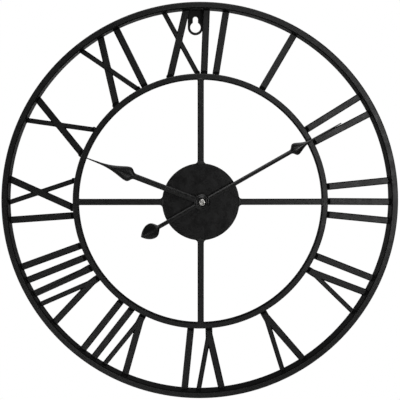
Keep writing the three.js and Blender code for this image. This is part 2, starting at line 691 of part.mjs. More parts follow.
function addFixings() {
  const bore = BUSH_RADIUS + PRESS_GAP;
  const rubberWasher = tube(bore, RUBBER_DIAMETER / 2, DISC_BACK, CASE_FRONT);
  addPart("rubber_washer", moved(rubberWasher, SHAFT), rubber());
  const washer = tube(bore, WASHER_DIAMETER / 2, WASHER_FRONT, DIAL_FRONT);
  addPart("bush_washer", moved(washer, SHAFT), brass());
  const nutRadius = BUSH_NUT_ACROSS_FLATS / Math.sqrt(3);
  const nut = rod(nutRadius, BUSH_NUT_FRONT, WASHER_FRONT, { x: 0, z: 0 }, 6);
  const hole = rod(bore, BUSH_NUT_FRONT - CUT_OVERRUN, WASHER_FRONT + CUT_OVERRUN, { x: 0, z: 0 });
  addPart("bush_nut", moved(cut(nut, hole), SHAFT), brass());
}

// The case's front: a tray with a gear chamber above a battery bay, and the threaded bush.
function frontCaseGeometry() {
  const origin = { x: 0, z: 0 };
  const shell = plate(roundedSquare(CASE_SIZE, CASE_CORNER), CASE_FRONT, CASE_DEPTH, 3);
  const bush = rod(BUSH_RADIUS, BUSH_FRONT, CHAMBER_FRONT, origin);
  const past = CASE_BACK + CUT_OVERRUN;
  const inside = CASE_INSIDE;
  const chamber = block([-inside, CHAMBER_FRONT, CHAMBER_BOTTOM], [inside, past, inside]);
  const bayFront = CASE_FRONT + BAY_FRONT_WALL;
  const bay = block([-inside, bayFront, -inside], [inside, past, BAY_TOP]);
  const bore = rod(BUSH_BORE, BUSH_FRONT - CUT_OVERRUN, past, origin);
  const bearingFront = ARBOR_FRONT - RUNNING_GAP;
  const bearings = [MINUTE_WORK, THIRD, STEP, ROTOR].map((axis) => {
    const place = { x: axis.x - SHAFT.x, z: axis.z - SHAFT.z };
    return rod(ARBOR_RADIUS + RUNNING_GAP, bearingFront, past, place, 12);
  });
  const knobPlace = { x: KNOB.x - SHAFT.x, z: KNOB.z - SHAFT.z };
  const knobBearing = rod(KNOB_SHAFT_RADIUS + RUNNING_GAP, bearingFront, past, knobPlace, 12);
  const whole = cut(join(shell, bush), chamber, bay, bore, ...bearings, knobBearing);
  return moved(whole, SHAFT);
}

// The flat cover on the case's back, open over the battery bay and round the setting knob.
function rearCoverGeometry() {
  const shape = roundedSquare(CASE_SIZE, CASE_CORNER);
  const inside = CASE_INSIDE;
  const bay = new THREE.Path();
  bay.moveTo(-inside, -inside);
  bay.lineTo(-inside, BAY_TOP);
  bay.lineTo(inside, BAY_TOP);
  bay.lineTo(inside, -inside);
  shape.holes.push(bay);
  shape.holes.push(circleHole(KNOB_RADIUS + RUNNING_GAP, KNOB.x - SHAFT.x, KNOB.z - SHAFT.z));
  return moved(plate(shape, CASE_BACK, COVER_THICKNESS, 8), SHAFT);
}

// The inner plate that carries the arbors' rear ends, clear of the coil on its right.
function trainPlateGeometry() {
  const left = SHAFT.x - CASE_INSIDE + RUNNING_GAP;
  const right = COIL_AXIS.x - COIL_FLANGE_RADIUS - RUNNING_GAP;
  const bottom = CHAMBER_BOTTOM + RUNNING_GAP;
  const top = CASE_INSIDE - RUNNING_GAP;
  const shape = polygon([
    [left, bottom],
    [right, bottom],
    [right, top],
    [left, top],
  ]);
  for (const axis of [SHAFT, MINUTE_WORK, THIRD, STEP, ROTOR]) {
    shape.holes.push(circleHole(ARBOR_RADIUS + RUNNING_GAP, axis.x, axis.z));
  }
  shape.holes.push(circleHole(KNOB_SHAFT_RADIUS + RUNNING_GAP, KNOB.x, KNOB.z));
  return plate(shape, TRAIN_PLATE_FRONT, TRAIN_PLATE_THICKNESS);
}

// ---------- Battery and its contacts ----------

function cellGeometry() {
  const negativeEnd = -CELL_LENGTH / 2;
  const shoulder = CELL_LENGTH / 2 - CELL_NUB_HEIGHT;
  const corners = [
    [0, negativeEnd],
    [CELL_DIAMETER / 2, negativeEnd],
    [CELL_DIAMETER / 2, shoulder],
    [CELL_NUB_DIAMETER / 2, shoulder],
    [CELL_NUB_DIAMETER / 2, CELL_LENGTH / 2],
    [0, CELL_LENGTH / 2],
  ];
  const geometry = turned(corners);
  geometry.rotateZ(-Math.PI / 2);
  geometry.translate(SHAFT.x, CELL_DEPTH, CELL_HEIGHT);
  return geometry;
}

// A flat contact spring against a wall of the bay, with a cone towards the cell.
function contactGeometry(side, reach) {
  const wall = SHAFT.x + side * (CASE_INSIDE - PRESS_GAP);
  const face = wall - side * CONTACT_THICKNESS;
  const half = CONTACT_WIDTH / 2;
  const low = [Math.min(wall, face), CELL_DEPTH - half, CELL_HEIGHT - half];
  const high = [Math.max(wall, face), CELL_DEPTH + half, CELL_HEIGHT + half];
  const height = reach + CONTACT_THICKNESS / 2;
  const cone = new THREE.CylinderGeometry(0.2 * half, 0.7 * half, height, 16);
  cone.rotateZ((side * Math.PI) / 2);
  cone.translate(face - side * (reach - height / 2), CELL_DEPTH, CELL_HEIGHT);
  return join(block(low, high), cone);
}

const CELL_DEPTH = CASE_FRONT + BAY_FRONT_WALL + CELL_CLEARANCE + CELL_DIAMETER / 2;
const BAY_END_SPACE = CASE_INSIDE - PRESS_GAP - CONTACT_THICKNESS - CELL_LENGTH / 2;

function addBattery() {
  const reach = BAY_END_SPACE - RUNNING_GAP;
  addPart("aa_cell", cellGeometry(), plastic(0x20242c));
  addPart("positive_contact", contactGeometry(1, reach), bareSteel());
  addPart("negative_contact", contactGeometry(-1, reach), bareSteel());
}

// ---------- Gears ----------

// A toothed wheel's outline about the origin. The phase turns it anticlockwise, in radians.
function gearShape(teeth, module, phase, bore) {
  const pitchRadius = (module * teeth) / 2;
  const tip = pitchRadius + TOOTH_ADDENDUM * module;
  const root = pitchRadius - TOOTH_DEDENDUM * module;
  const pitch = (2 * Math.PI) / teeth;
  const corner = (radius, angle) => [radius * Math.cos(angle), radius * Math.sin(angle)];
  const points = [];
  for (let tooth = 0; tooth < teeth; tooth += 1) {
    const middle = phase + tooth * pitch;
    points.push(corner(root, middle - TOOTH_ROOT_HALF * pitch));
    points.push(corner(tip, middle - TOOTH_TIP_HALF * pitch));
    points.push(corner(tip, middle + TOOTH_TIP_HALF * pitch));
    points.push(corner(root, middle + TOOTH_ROOT_HALF * pitch));
  }
  const shape = polygon(points);
  if (bore > 0) shape.holes.push(circleHole(bore));
  return shape;
}

// The phase of a gear that meshes with another: one's tooth faces the other's gap.
function meshPhase(teeth, otherTeeth, otherPhase, directionFromOther) {
  const direction = THREE.MathUtils.degToRad(directionFromOther);
  const otherPitch = (2 * Math.PI) / otherTeeth;
  const share = (direction - otherPhase) / otherPitch;
  return direction + Math.PI - (0.5 - share) * ((2 * Math.PI) / teeth);
}

function gear(teeth, module, phase, front, thickness, place, bore = 0) {
  return moved(plate(gearShape(teeth, module, phase, bore), front, thickness, 12), place);
}

// A pinion that drives the wheel in a layer, a little deeper than that wheel.
function pinionFor(layer, teeth, module, phase, place, bore = 0) {
  const depth = WHEEL_THICKNESS + 2 * PINION_MARGIN;
  return gear(teeth, module, phase, layer - PINION_MARGIN, depth, place, bore);
}

// The hour wheel and the pipe that carries the hour hand.
function hourWheelGeometry(phase) {
  const wheel = gear(HOUR_TEETH, HOUR_MODULE, phase, HOUR_LAYER, WHEEL_THICKNESS, SHAFT);
  const pipe = rod(PIPE_RADIUS, PIPE_FRONT, HOUR_LAYER + WHEEL_THICKNESS / 2, SHAFT);
  const past = HOUR_LAYER + WHEEL_THICKNESS + CUT_OVERRUN;
  const bore = rod(PIPE_BORE, PIPE_FRONT - CUT_OVERRUN, past, SHAFT);
  return cut(join(wheel, pipe), bore);
}

// The cannon: a tube through the pipe with the pinion that drives the minute work wheel.
function cannonGeometry() {
  const back = CENTRE_LAYER + WHEEL_THICKNESS;
  const body = rod(CANNON_RADIUS, CANNON_FRONT, back, SHAFT);
  const pinion = gear(
    CANNON_TEETH,
    MOTION_MODULE,
    0,
    MINUTE_WORK_LAYER - PINION_MARGIN / 3,
    WHEEL_THICKNESS + PINION_MARGIN,
    SHAFT,
  );
  const boreFront = HOUR_HAND_FRONT;
  return cut(join(body, pinion), rod(CANNON_BORE, boreFront, back + CUT_OVERRUN, SHAFT));
}

// The minute work wheel, with the pinion in front of it that drives the hour wheel.
function minuteWorkGeometry(wheelPhase, pinionPhase) {
  const wheel = gear(
    MINUTE_WORK_TEETH,
    MOTION_MODULE,
    wheelPhase,
    MINUTE_WORK_LAYER,
    WHEEL_THICKNESS,
    MINUTE_WORK,
  );
  const pinionFront = CHAMBER_FRONT + RUNNING_GAP;
  const pinion = gear(
    MINUTE_WORK_PINION_TEETH,
    HOUR_MODULE,
    pinionPhase,
    pinionFront,
    MINUTE_WORK_LAYER + WHEEL_THICKNESS / 2 - pinionFront,
    MINUTE_WORK,
  );
  return join(wheel, pinion, rod(ARBOR_RADIUS, ARBOR_FRONT, ARBOR_BACK, MINUTE_WORK, 12));
}

// A wheel on a through arbor with a pinion on the layer in front.
function wheelAndPinion(wheel, pinion, place, arborFront) {
  return join(wheel, pinion, rod(ARBOR_RADIUS, arborFront, ARBOR_BACK, place, 12));
}

function thirdWheelGeometry(pinionPhase) {
  const wheel = gear(THIRD_TEETH, THIRD_MODULE, 0, THIRD_LAYER, WHEEL_THICKNESS, THIRD);
  const pinion = pinionFor(CENTRE_LAYER, THIRD_PINION_TEETH, CENTRE_MODULE, pinionPhase, THIRD);
  return wheelAndPinion(wheel, pinion, THIRD, ARBOR_FRONT);
}

function secondsWheelGeometry(pinionPhase) {
  const wheel = gear(SECONDS_TEETH, SECONDS_MODULE, 0, SECONDS_LAYER, WHEEL_THICKNESS, SHAFT);
  const pinion = pinionFor(THIRD_LAYER, SECONDS_PINION_TEETH, THIRD_MODULE, pinionPhase, SHAFT);
  return wheelAndPinion(wheel, pinion, SHAFT, CASE_FRONT);
}

function stepWheelGeometry() {
  const wheel = gear(STEP_TEETH, ROTOR_MODULE, 0, STEP_LAYER, WHEEL_THICKNESS, STEP);
  const pinion = pinionFor(SECONDS_LAYER, STEP_PINION_TEETH, SECONDS_MODULE, 0, STEP);
  return wheelAndPinion(wheel, pinion, STEP, ARBOR_FRONT);
}

// The stepping motor's rotor: a round magnet behind its pinion.
function rotorGeometry(phase) {
  const pinion = pinionFor(STEP_LAYER, ROTOR_TEETH, ROTOR_MODULE, phase, ROTOR);
  const magnet = rod(MAGNET_RADIUS, MAGNET_LAYER, MAGNET_LAYER + MAGNET_HEIGHT, ROTOR);
  return wheelAndPinion(magnet, pinion, ROTOR, ARBOR_FRONT);
}

// The setting knob on the back, with its shaft and the pinion that turns the minute work wheel.
function knobGeometry(phase) {
  const knob = rod(KNOB_RADIUS, KNOB_FRONT, KNOB_BACK, KNOB, 20);
  const shaft = rod(KNOB_SHAFT_RADIUS, ARBOR_FRONT, KNOB_FRONT + KNOB_HEIGHT / 2, KNOB, 12);
  const pinion = pinionFor(MINUTE_WORK_LAYER, KNOB_TEETH, MOTION_MODULE, phase, KNOB);
  return join(knob, shaft, pinion);
}

function addGears() {
  const shaftFromMinuteWork = MINUTE_WORK_DIRECTION + 180;
  const minuteWorkPhase = meshPhase(MINUTE_WORK_TEETH, CANNON_TEETH, 0, MINUTE_WORK_DIRECTION);
  const hourPhase = meshPhase(HOUR_TEETH, MINUTE_WORK_PINION_TEETH, 0, shaftFromMinuteWork);
  addPart("hour_wheel", hourWheelGeometry(hourPhase), plastic(0xe9e6da));
  addPart("cannon_pinion", cannonGeometry(), brass());
  const centreWheel = gear(
    CENTRE_TEETH,
    CENTRE_MODULE,
    0,
    CENTRE_LAYER,
    WHEEL_THICKNESS,
    SHAFT,
    CANNON_RADIUS + PRESS_GAP,
  );
  addPart("centre_wheel", centreWheel, plastic(0xd9d4c4));
  addPart("minute_work_wheel", minuteWorkGeometry(minuteWorkPhase, 0), plastic(0xf0ece0));
  const knobPhase = meshPhase(KNOB_TEETH, MINUTE_WORK_TEETH, minuteWorkPhase, KNOB_DIRECTION);
  addPart("setting_knob", knobGeometry(knobPhase), plastic(0x2a2a2a));
  const thirdPinionPhase = meshPhase(THIRD_PINION_TEETH, CENTRE_TEETH, 0, THIRD_DIRECTION);
  addPart("third_wheel", thirdWheelGeometry(thirdPinionPhase), plastic(0xe4dfcf));
  const secondsPinionPhase = meshPhase(
    SECONDS_PINION_TEETH,
    THIRD_TEETH,
    0,
    THIRD_DIRECTION + 180,
  );
  addPart("seconds_wheel", secondsWheelGeometry(secondsPinionPhase), plastic(0xd8b04a));
  addPart("step_wheel", stepWheelGeometry(), plastic(0xefe9d8));
  const rotorPhase = meshPhase(ROTOR_TEETH, STEP_TEETH, 0, ROTOR_DIRECTION);
  addPart("rotor", rotorGeometry(rotorPhase), bareSteel());
}

// ---------- Stepping motor and circuit ----------

const COIL_AXIS = {
  x: SHAFT.x + CASE_INSIDE - COIL_FLANGE_RADIUS - LAYER_GAP,
  y: STATOR_LAYER + STATOR_THICKNESS / 2,
};
const COIL_TOP = CASE_INSIDE - 2;
const COIL_BOTTOM = COIL_TOP - COIL_LENGTH;

// The stator: a steel plate round the rotor's magnet and a strip up through the coil.
function statorGeometry() {
  const margin = 1.6;
  const strip = COIL_STRIP_WIDTH / 2;
  const left = ROTOR.x - MAGNET_RADIUS - margin;
  const bottom = ROTOR.z - MAGNET_RADIUS - margin;
  const top = ROTOR.z + MAGNET_RADIUS + margin;
  const right = COIL_AXIS.x + strip;
  const shape = polygon([
    [left, bottom],
    [right, bottom],
    [right, COIL_TOP + 1],
    [COIL_AXIS.x - strip, COIL_TOP + 1],
    [COIL_AXIS.x - strip, top],
    [left, top],
  ]);
  shape.holes.push(circleHole(MAGNET_RADIUS + RUNNING_GAP, ROTOR.x, ROTOR.z));
  return plate(shape, STATOR_LAYER, STATOR_THICKNESS, 12);
}

// A solid turned about the coil's upright axis.
function coilTurned(corners) {
  const geometry = turned(corners);
  geometry.rotateX(Math.PI / 2);
  geometry.translate(COIL_AXIS.x, COIL_AXIS.y, 0);
  return geometry;
}

function bobbinGeometry() {
  const lowFlange = COIL_BOTTOM + COIL_FLANGE_THICKNESS;
  const highFlange = COIL_TOP - COIL_FLANGE_THICKNESS;
  const spool = coilTurned([
    [0, COIL_BOTTOM],
    [COIL_FLANGE_RADIUS, COIL_BOTTOM],
    [COIL_FLANGE_RADIUS, lowFlange],
    [COIL_CORE_RADIUS, lowFlange],
    [COIL_CORE_RADIUS, highFlange],
    [COIL_FLANGE_RADIUS, highFlange],
    [COIL_FLANGE_RADIUS, COIL_TOP],
    [0, COIL_TOP],
  ]);
  const halfWidth = COIL_STRIP_WIDTH / 2 + PRESS_GAP;
  const halfDepth = STATOR_THICKNESS / 2 + PRESS_GAP;
  const slot = block(
    [COIL_AXIS.x - halfWidth, COIL_AXIS.y - halfDepth, COIL_BOTTOM - CUT_OVERRUN],
    [COIL_AXIS.x + halfWidth, COIL_AXIS.y + halfDepth, COIL_TOP + CUT_OVERRUN],
  );
  return cut(spool, slot);
}

function windingGeometry() {
  const low = COIL_BOTTOM + COIL_FLANGE_THICKNESS + PRESS_GAP;
  const high = COIL_TOP - COIL_FLANGE_THICKNESS - PRESS_GAP;
  return coilTurned([
    [COIL_CORE_RADIUS + PRESS_GAP, low],
    [COIL_WIRE_RADIUS, low],
    [COIL_WIRE_RADIUS, high],
    [COIL_CORE_RADIUS + PRESS_GAP, high],
    [COIL_CORE_RADIUS + PRESS_GAP, low],
  ]);
}

function addMotorAndCircuit() {
  addPart("stator", statorGeometry(), bareSteel());
  addPart("coil_bobbin", bobbinGeometry(), plastic(0x2f3a30));
  addPart("coil_winding", windingGeometry(), copper());
  const left = SHAFT.x - CASE_INSIDE + RUNNING_GAP;
  const top = CASE_INSIDE - RUNNING_GAP;
  const boardBack = SECONDS_LAYER + BOARD_THICKNESS;
  const board = block([left, SECONDS_LAYER, top - BOARD_WIDTH], [left + BOARD_LENGTH, boardBack, top]);
  addPart("circuit_board", board, plastic(0x2c6b3d));
  const crystal = new THREE.CylinderGeometry(CRYSTAL_RADIUS, CRYSTAL_RADIUS, CRYSTAL_LENGTH, 16);
  crystal.rotateZ(Math.PI / 2);
  const crystalDepth = boardBack + PRESS_GAP + CRYSTAL_RADIUS;
  crystal.translate(left + BOARD_LENGTH / 2, crystalDepth, top - BOARD_WIDTH / 2);
  addPart("quartz_crystal", crystal, bareSteel());
}

function addMovement() {
  addPart("front_case", frontCaseGeometry(), plastic(0x1d1d1f));
  addPart("rear_cover", rearCoverGeometry(), plastic(0x1d1d1f));
  addPart("train_plate", trainPlateGeometry(), plastic(0x4a4d50));
  addBattery();
  addGears();
  addMotorAndCircuit();
}

addFrame();
addHanger();
addNumerals();
addHands();
addFixings();
addMovement();

export default clock;
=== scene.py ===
"""An open steel wall clock: coated rings and numerals, pressed hands, a quartz movement."""

import json
import math
from functools import partial

import bpy
import numpy as np
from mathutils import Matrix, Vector


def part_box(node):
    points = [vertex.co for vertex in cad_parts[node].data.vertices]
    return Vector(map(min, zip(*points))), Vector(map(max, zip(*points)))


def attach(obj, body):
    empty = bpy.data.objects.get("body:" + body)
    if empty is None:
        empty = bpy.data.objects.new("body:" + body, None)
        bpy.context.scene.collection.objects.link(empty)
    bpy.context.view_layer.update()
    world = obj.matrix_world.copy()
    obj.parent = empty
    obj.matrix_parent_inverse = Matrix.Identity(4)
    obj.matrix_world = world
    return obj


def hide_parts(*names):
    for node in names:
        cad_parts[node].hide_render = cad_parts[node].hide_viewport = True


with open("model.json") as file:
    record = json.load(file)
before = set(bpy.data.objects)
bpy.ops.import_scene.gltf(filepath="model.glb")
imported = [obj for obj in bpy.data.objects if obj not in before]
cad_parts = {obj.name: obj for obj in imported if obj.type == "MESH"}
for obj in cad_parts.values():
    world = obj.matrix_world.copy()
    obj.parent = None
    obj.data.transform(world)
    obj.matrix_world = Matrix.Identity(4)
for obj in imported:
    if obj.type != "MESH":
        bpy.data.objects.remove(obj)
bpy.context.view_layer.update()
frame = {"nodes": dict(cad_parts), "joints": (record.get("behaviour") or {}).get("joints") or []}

bl_info = {
    "name": "Open steel wall clock",
    "version": (1, 0, 0),
    "blender": (4, 5, 0),
    "location": "3D View > Sidebar > Wall clock",
    "description": "Builds the looks of an open steel wall clock round its packed frame",
    "category": "Object",
}

MM = 0.001
NODES = frame["nodes"]
JOINTS = {joint["name"]: joint for joint in frame["joints"]}
SHOULDER_WIDTH = 13.0  # the light band at the cell's positive end, in mm
SHAFT = np.array(JOINTS["minute_hand_turn"]["pos_m"]) / MM  # the hands' axis, in mm


def low(node):
    """A CAD node's lowest corner in mm."""
    return np.array(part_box(node)[0]) / MM


def high(node):
    """A CAD node's highest corner in mm."""
    return np.array(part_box(node)[1]) / MM


# ---- sizes and colours


def length(name, value, description):
    """A size in millimetres, shown in the sidebar."""
    text = f"{description}, in mm"
    return bpy.props.FloatProperty(name=name, description=text, default=value, min=0.0, precision=2)


def angle(name, degrees, description):
    """An angle, shown in the sidebar in degrees."""
    turn = math.radians(degrees)
    return bpy.props.FloatProperty(
        name=name, description=description, default=turn, subtype="ANGLE", unit="ROTATION"
    )


def colour(name, code, description):
    """A finish's sRGB colour as a hex code, shown in the sidebar."""
    return bpy.props.StringProperty(name=name, description=description, default=code)


class FrameSizes(bpy.types.PropertyGroup):
    """Millimetres of the welded frame's fine detail."""

    ring_edge: length("Ring edge", 0.9, "Rounding of the flat bar's long edges")
    dial_edge: length("Dial ring edge", 0.9, "Rounding of the dial ring's edges")
    disc_edge: length("Disc edge", 0.5, "Rounding of the disc's cut edge")
    numeral_edge: length("Numeral edge", 0.95, "Rounding of the numerals' cut edges")
    spoke_flare: length("Spoke flare", 1.9, "Extra half width of a spoke at the disc")
    spoke_fillet: length("Spoke fillet", 1.4, "Extra half width of a spoke at the dial ring")
    inner_rise: length("Inner weld rise", 4.2, "Height of a weld up the dial ring's side")
    inner_run: length("Inner weld run", 3.1, "Length of a weld along a numeral from the dial ring")
    outer_rise: length("Outer weld rise", 1.6, "Height of a weld up the outer ring's inside")
    outer_run: length("Outer weld run", 1.4, "Length of a weld along a numeral from the ring")
    pad_height: length("Weld pad", 0.3, "Height of the dressed welds at the spokes' ends")


class HandSizes(bpy.types.PropertyGroup):
    """Millimetres of the two pressed hands."""

    hour_stem: length("Hour stem", 5.9, "Width of the hour hand's stem")
    hour_spade: length("Hour spade", 14.8, "Width of the hour hand's spade")
    hour_start: length("Hour spade start", 71.5, "From the axis to the hour hand's spade")
    hour_length: length("Hour spade length", 38.5, "Length of the hour hand's spade")
    hour_needle: length("Hour needle", 2.0, "Width of the hour hand's needle")
    hour_reach: length("Hour reach", 124.0, "From the axis to the hour hand's tip")
    hour_crown: length("Hour crown", 0.35, "Height pressed into the hour hand's spade")
    minute_stem: length("Minute stem", 4.2, "Width of the minute hand's stem")
    minute_spade: length("Minute spade", 12.7, "Width of the minute hand's spade")
    minute_start: length("Minute spade start", 101.5, "From the axis to the minute spade")
    minute_length: length("Minute spade length", 23.5, "Length of the minute hand's spade")
    minute_needle: length("Minute needle", 2.1, "Width of the minute hand's needle")
    minute_reach: length("Minute reach", 160.5, "From the axis to the minute hand's tip")
    minute_crown: length("Minute crown", 0.5, "Height pressed into the minute hand's spade")
    tail_start: length("Tail start", 50.0, "From the axis to the minute hand's tail leaf")
    tail_width: length("Tail width", 15.9, "Width of the minute hand's tail leaf")
    tail_reach: length("Tail reach", 70.5, "From the axis to the tail leaf's tip")
    hour_angle: angle("Hour hand angle", 291, "Clockwise from twelve, at rest")
    minute_angle: angle("Minute hand angle", 60.4, "Clockwise from twelve, at rest")


class FinishColours(bpy.types.PropertyGroup):
    """The sRGB colours of the finishes."""

    coat: colour("Powder coat", "111111", "The frame's satin black powder coat")
    enamel: colour("Hand enamel", "121212", "The hands' stoved black enamel")
    nickel: colour("Nickel", "e9e7e2", "The hand nut's bright nickel plate")
    brass: colour("Brass", "b89a55", "Turned brass of the cannon pinion")
    rubber: colour("Rubber", "161616", "The washer behind the disc")
    case: colour("Case", "17181a", "The movement case's textured plastic")
    acetal: colour("Acetal", "e6e2d6", "The white wheels")
    jacket: colour("Cell jacket", "2b303a", "The dry cell's printed jacket")
    spring: colour("Spring steel", "a9a9a6", "The contacts' plated spring steel")
    board: colour("Board", "1d5a34", "The circuit board's solder mask")


class StageSettings(bpy.types.PropertyGroup):
    """The camera and the lights."""

    azimuth: angle("Azimuth", -1.5, "The camera's turn round the clock")
    elevation: angle("Elevation", 2.95, "The camera's height as an angle")
    distance: bpy.props.FloatProperty(
        name="Distance", description="From the camera to the clock", default=1.0, unit="LENGTH"
    )
    lens: bpy.props.FloatProperty(
        name="Lens", description="Focal length in millimetres", default=89.4, min=1.0
    )
    strength: bpy.props.FloatProperty(
        name="Light strength", description="Multiplies every light", default=1.0, min=0.0
    )


class ClockSettings(bpy.types.PropertyGroup):
    """Everything that the clock's builders read."""

    frame: bpy.props.PointerProperty(type=FrameSizes, name="Frame", description="Frame sizes")
    hands: bpy.props.PointerProperty(type=HandSizes, name="Hands", description="Hand sizes")
    colours: bpy.props.PointerProperty(
        type=FinishColours, name="Colours", description="Finish colours"
    )
    stage: bpy.props.PointerProperty(
        type=StageSettings, name="Stage", description="Camera and lights"
    )


# ---- surfaces

SMOOTH = math.radians(35)  # faces that meet more sharply than this shade as an edge
SOFT = math.radians(80)  # the same for welds and moulded ribs, which have no sharp edges


def skin(loops, ring=False):
    """A closed surface through loops of points, an array (loops, points, 3) in mm.

    P(i, j) is point j of loop i. Quads join (i, j), (i, j + 1), (i + 1, j + 1), (i + 1, j), with j
    going round. With ring=True the last loop joins the first, and otherwise a fan about each end
    loop's middle closes it. If the enclosed volume comes out negative, every face is reversed.
    """
    loops = np.asarray(loops, float)
    count, around = loops.shape[:2]
    points = loops.reshape(-1, 3)
    j = np.arange(around)
    following = (j + 1) % around
    here = np.arange(count if ring else count - 1)[:, None] * around
    there = (here + around) % (count * around)
    quads = np.stack([here + j, here + following, there + following, there + j], -1)
    quads = quads.reshape(-1, 4)
    fans = np.zeros((0, 3), int)
    if not ring:
        ends = np.stack([loops[0].mean(0), loops[-1].mean(0)])
        first, last = len(points), len(points) + 1
        points = np.concatenate([points, ends])
        top = (count - 1) * around
        start_fan = np.stack([np.full(around, first), following, j], -1)
        end_fan = np.stack([np.full(around, last), top + j, top + following], -1)
        fans = np.concatenate([start_fan, end_fan])
    triangles = np.concatenate([quads[:, [0, 1, 2]], quads[:, [0, 2, 3]], fans])
    a, b, c = (points[triangles[:, k]] for k in range(3))
    if np.einsum("ij,ij->i", a, np.cross(b, c)).sum() < 0:
        quads, fans = quads[:, ::-1], fans[:, ::-1]
    return points, [quads, fans]


def solid(name, skins, maker, sharp):
    """One object from skins: their points in metres, shaded smooth up to the angle sharp."""
    mesh = bpy.data.meshes.new(name)
    shift, points, faces = 0, [], []
    for part, groups in skins:
        faces += [face for group in groups for face in (group + shift).tolist()]
        points.append(part)
        shift += len(part)
    mesh.from_pydata((np.concatenate(points) * MM).tolist(), [], faces)
    mesh.polygons.foreach_set("use_smooth", np.ones(len(mesh.polygons), bool))
    mesh.set_sharp_from_angle(angle=sharp)
    if mesh.validate():
        raise RuntimeError(f"{name} has bad faces")
    mesh.materials.append(finish(maker))
    made = bpy.data.objects.new(name, mesh)
    bpy.context.scene.collection.objects.link(made)
    return made


def piece(name, skins, maker, body, slot, *replaced, sharp=SMOOTH):
    """A piece of the clock, which rides on a body and may stand for CAD nodes."""
    made = solid(name, skins, maker, sharp)
    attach(made, body)
    if replaced:
        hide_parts(*replaced)
    return made


def rounded(across_low, across_high, front, back, radius):
    """A rounded rectangle's outline, (points, 2) of (across, depth).

    Each corner is centre + radius * (cos a, sin a) over a quarter turn, with one more point
    on each flat a little way past the arc, so that the flats shade flat.
    """
    a = np.linspace(0, math.pi / 2, 5)
    step = min(0.25, 0.2 * radius + 0.05)
    corners = [(across_high, back), (across_low, back), (across_low, front), (across_high, front)]
    loops = []
    for turn, corner in enumerate(corners):
        angle = a + turn * math.pi / 2
        sign = np.array([1 if turn in (0, 3) else -1, 1 if turn in (0, 1) else -1])
        centre = np.array(corner) - sign * radius
        arc = centre + radius * np.stack([np.cos(angle), np.sin(angle)], -1)
        along = np.array([-np.sin(angle), np.cos(angle)]).T
        before, after = arc[:1] - step * along[:1], arc[-1:] + step * along[-1:]
        loops.append(np.concatenate([before, arc, after]))
    return np.concatenate(loops)


def turned(profile, segments):
    """A profile of (radius, distance) points turned about a line, as its three coordinates.

    P(j, t) = (r_j cos t, s_j, r_j sin t), with s along the line and t a full turn.
    """
    t = np.linspace(0, 2 * math.pi, segments, endpoint=False)
    r, s = (profile[:, k][:, None] for k in (0, 1))
    across = r * np.cos(t)
    return across, np.broadcast_to(s, across.shape), r * np.sin(t)


def turned_ring(profile, segments, centre=(0.0, 0.0)):
    """A closed profile of (radius, depth) points, turned about an axis along Y."""
    x, y, z = turned(profile, segments)
    loops = np.stack([centre[0] + x, y, centre[1] + z], -1)
    return skin(loops.swapaxes(0, 1), ring=True)


def polar(points, centre):
    """Each point's distance and angle about an axis along Y through centre (x, z)."""
    x, z = points[:, 0] - centre[0], points[:, 2] - centre[1]
    return np.hypot(x, z), np.arctan2(z, x)


def lay(stations, cross, angle, centre=(0.0, 0.0)):
    """Cross-sections set along a line in the dial's plane.

    stations is (n, 1) of distances s along the line, and cross is (n, points, 2) of
    (across w, depth y). The line points clockwise from twelve by the angle g, and
    P = centre + s (sin g, cos g) + w (cos g, -sin g), at depth y.
    """
    across, depth = cross[..., 0], cross[..., 1]
    s = np.broadcast_to(stations, across.shape)
    x = centre[0] + s * math.sin(angle) + across * math.cos(angle)
    z = centre[1] + s * math.cos(angle) - across * math.sin(angle)
    return np.stack([x, depth, z], -1)


def bezier(steps, *points):
    """A cubic curve's points: (1-t)^3 A + 3 (1-t)^2 t B + 3 (1-t) t^2 C + t^3 D."""
    a, b, c, d = (np.array(p, float) for p in points)
    t = np.linspace(0, 1, steps)[:, None]
    return (1 - t) ** 3 * a + 3 * (1 - t) ** 2 * t * b + 3 * (1 - t) * t**2 * c + t**3 * d


def centres(made):
    """Every face's middle in mm, as an array (faces, 3)."""
    values = np.empty(len(made.data.polygons) * 3)
    made.data.polygons.foreach_get("center", values)
    return values.reshape(-1, 3) / MM


# ---- finishes

NOISE, WAVE, CELLS = "ShaderNodeTexNoise", "ShaderNodeTexWave", "ShaderNodeTexVoronoi"
SPAN, MIX, BUMP = "ShaderNodeMapRange", "ShaderNodeMix", "ShaderNodeBump"
MAPPING = "ShaderNodeMapping"
FACTOR, COLOUR_A, COLOUR_B, MIXED = 0, 6, 7, 2  # a Mix node's colour sockets, by place
WAVES_PER_UNIT = 20  # a Wave texture shows about this many bands in 1 / Scale


def linear(code):
    """A hex sRGB colour as linear red, green, blue and alpha."""
    srgb = np.array([int(code[k : k + 2], 16) for k in (0, 2, 4)]) / 255
    value = np.where(srgb <= 0.04045, srgb / 12.92, ((srgb + 0.055) / 1.055) ** 2.4)
    return (*value.tolist(), 1.0)


def shade(code, factor):
    """A hex colour's linear value, made darker or lighter by a factor."""
    red, green, blue, alpha = linear(code)
    return (red * factor, green * factor, blue * factor, alpha)


def per_mm(size):
    """A texture's scale for features of this many millimetres, on coordinates in metres."""
    return 1 / (size * MM)


def grains(place, size, detail=2.0, roughness=0.5):
    """A noise's inputs for features of this many millimetres."""
    return {"Vector": place, "Scale": per_mm(size), "Detail": detail, "Roughness": roughness}


def spread(value, least, most, low=0.3, high=0.7):
    """A Map Range's inputs that stretch a value from low..high to least..most."""
    return {"Value": value, "From Min": low, "From Max": high, "To Min": least, "To Max": most}


def bumps(height, depth):
    """A Bump's inputs for relief of this many millimetres."""
    return {"Height": height, "Distance": depth * MM}


def between(factor, first, second):
    """A colour Mix's inputs."""
    return {FACTOR: factor, COLOUR_A: first, COLOUR_B: second}


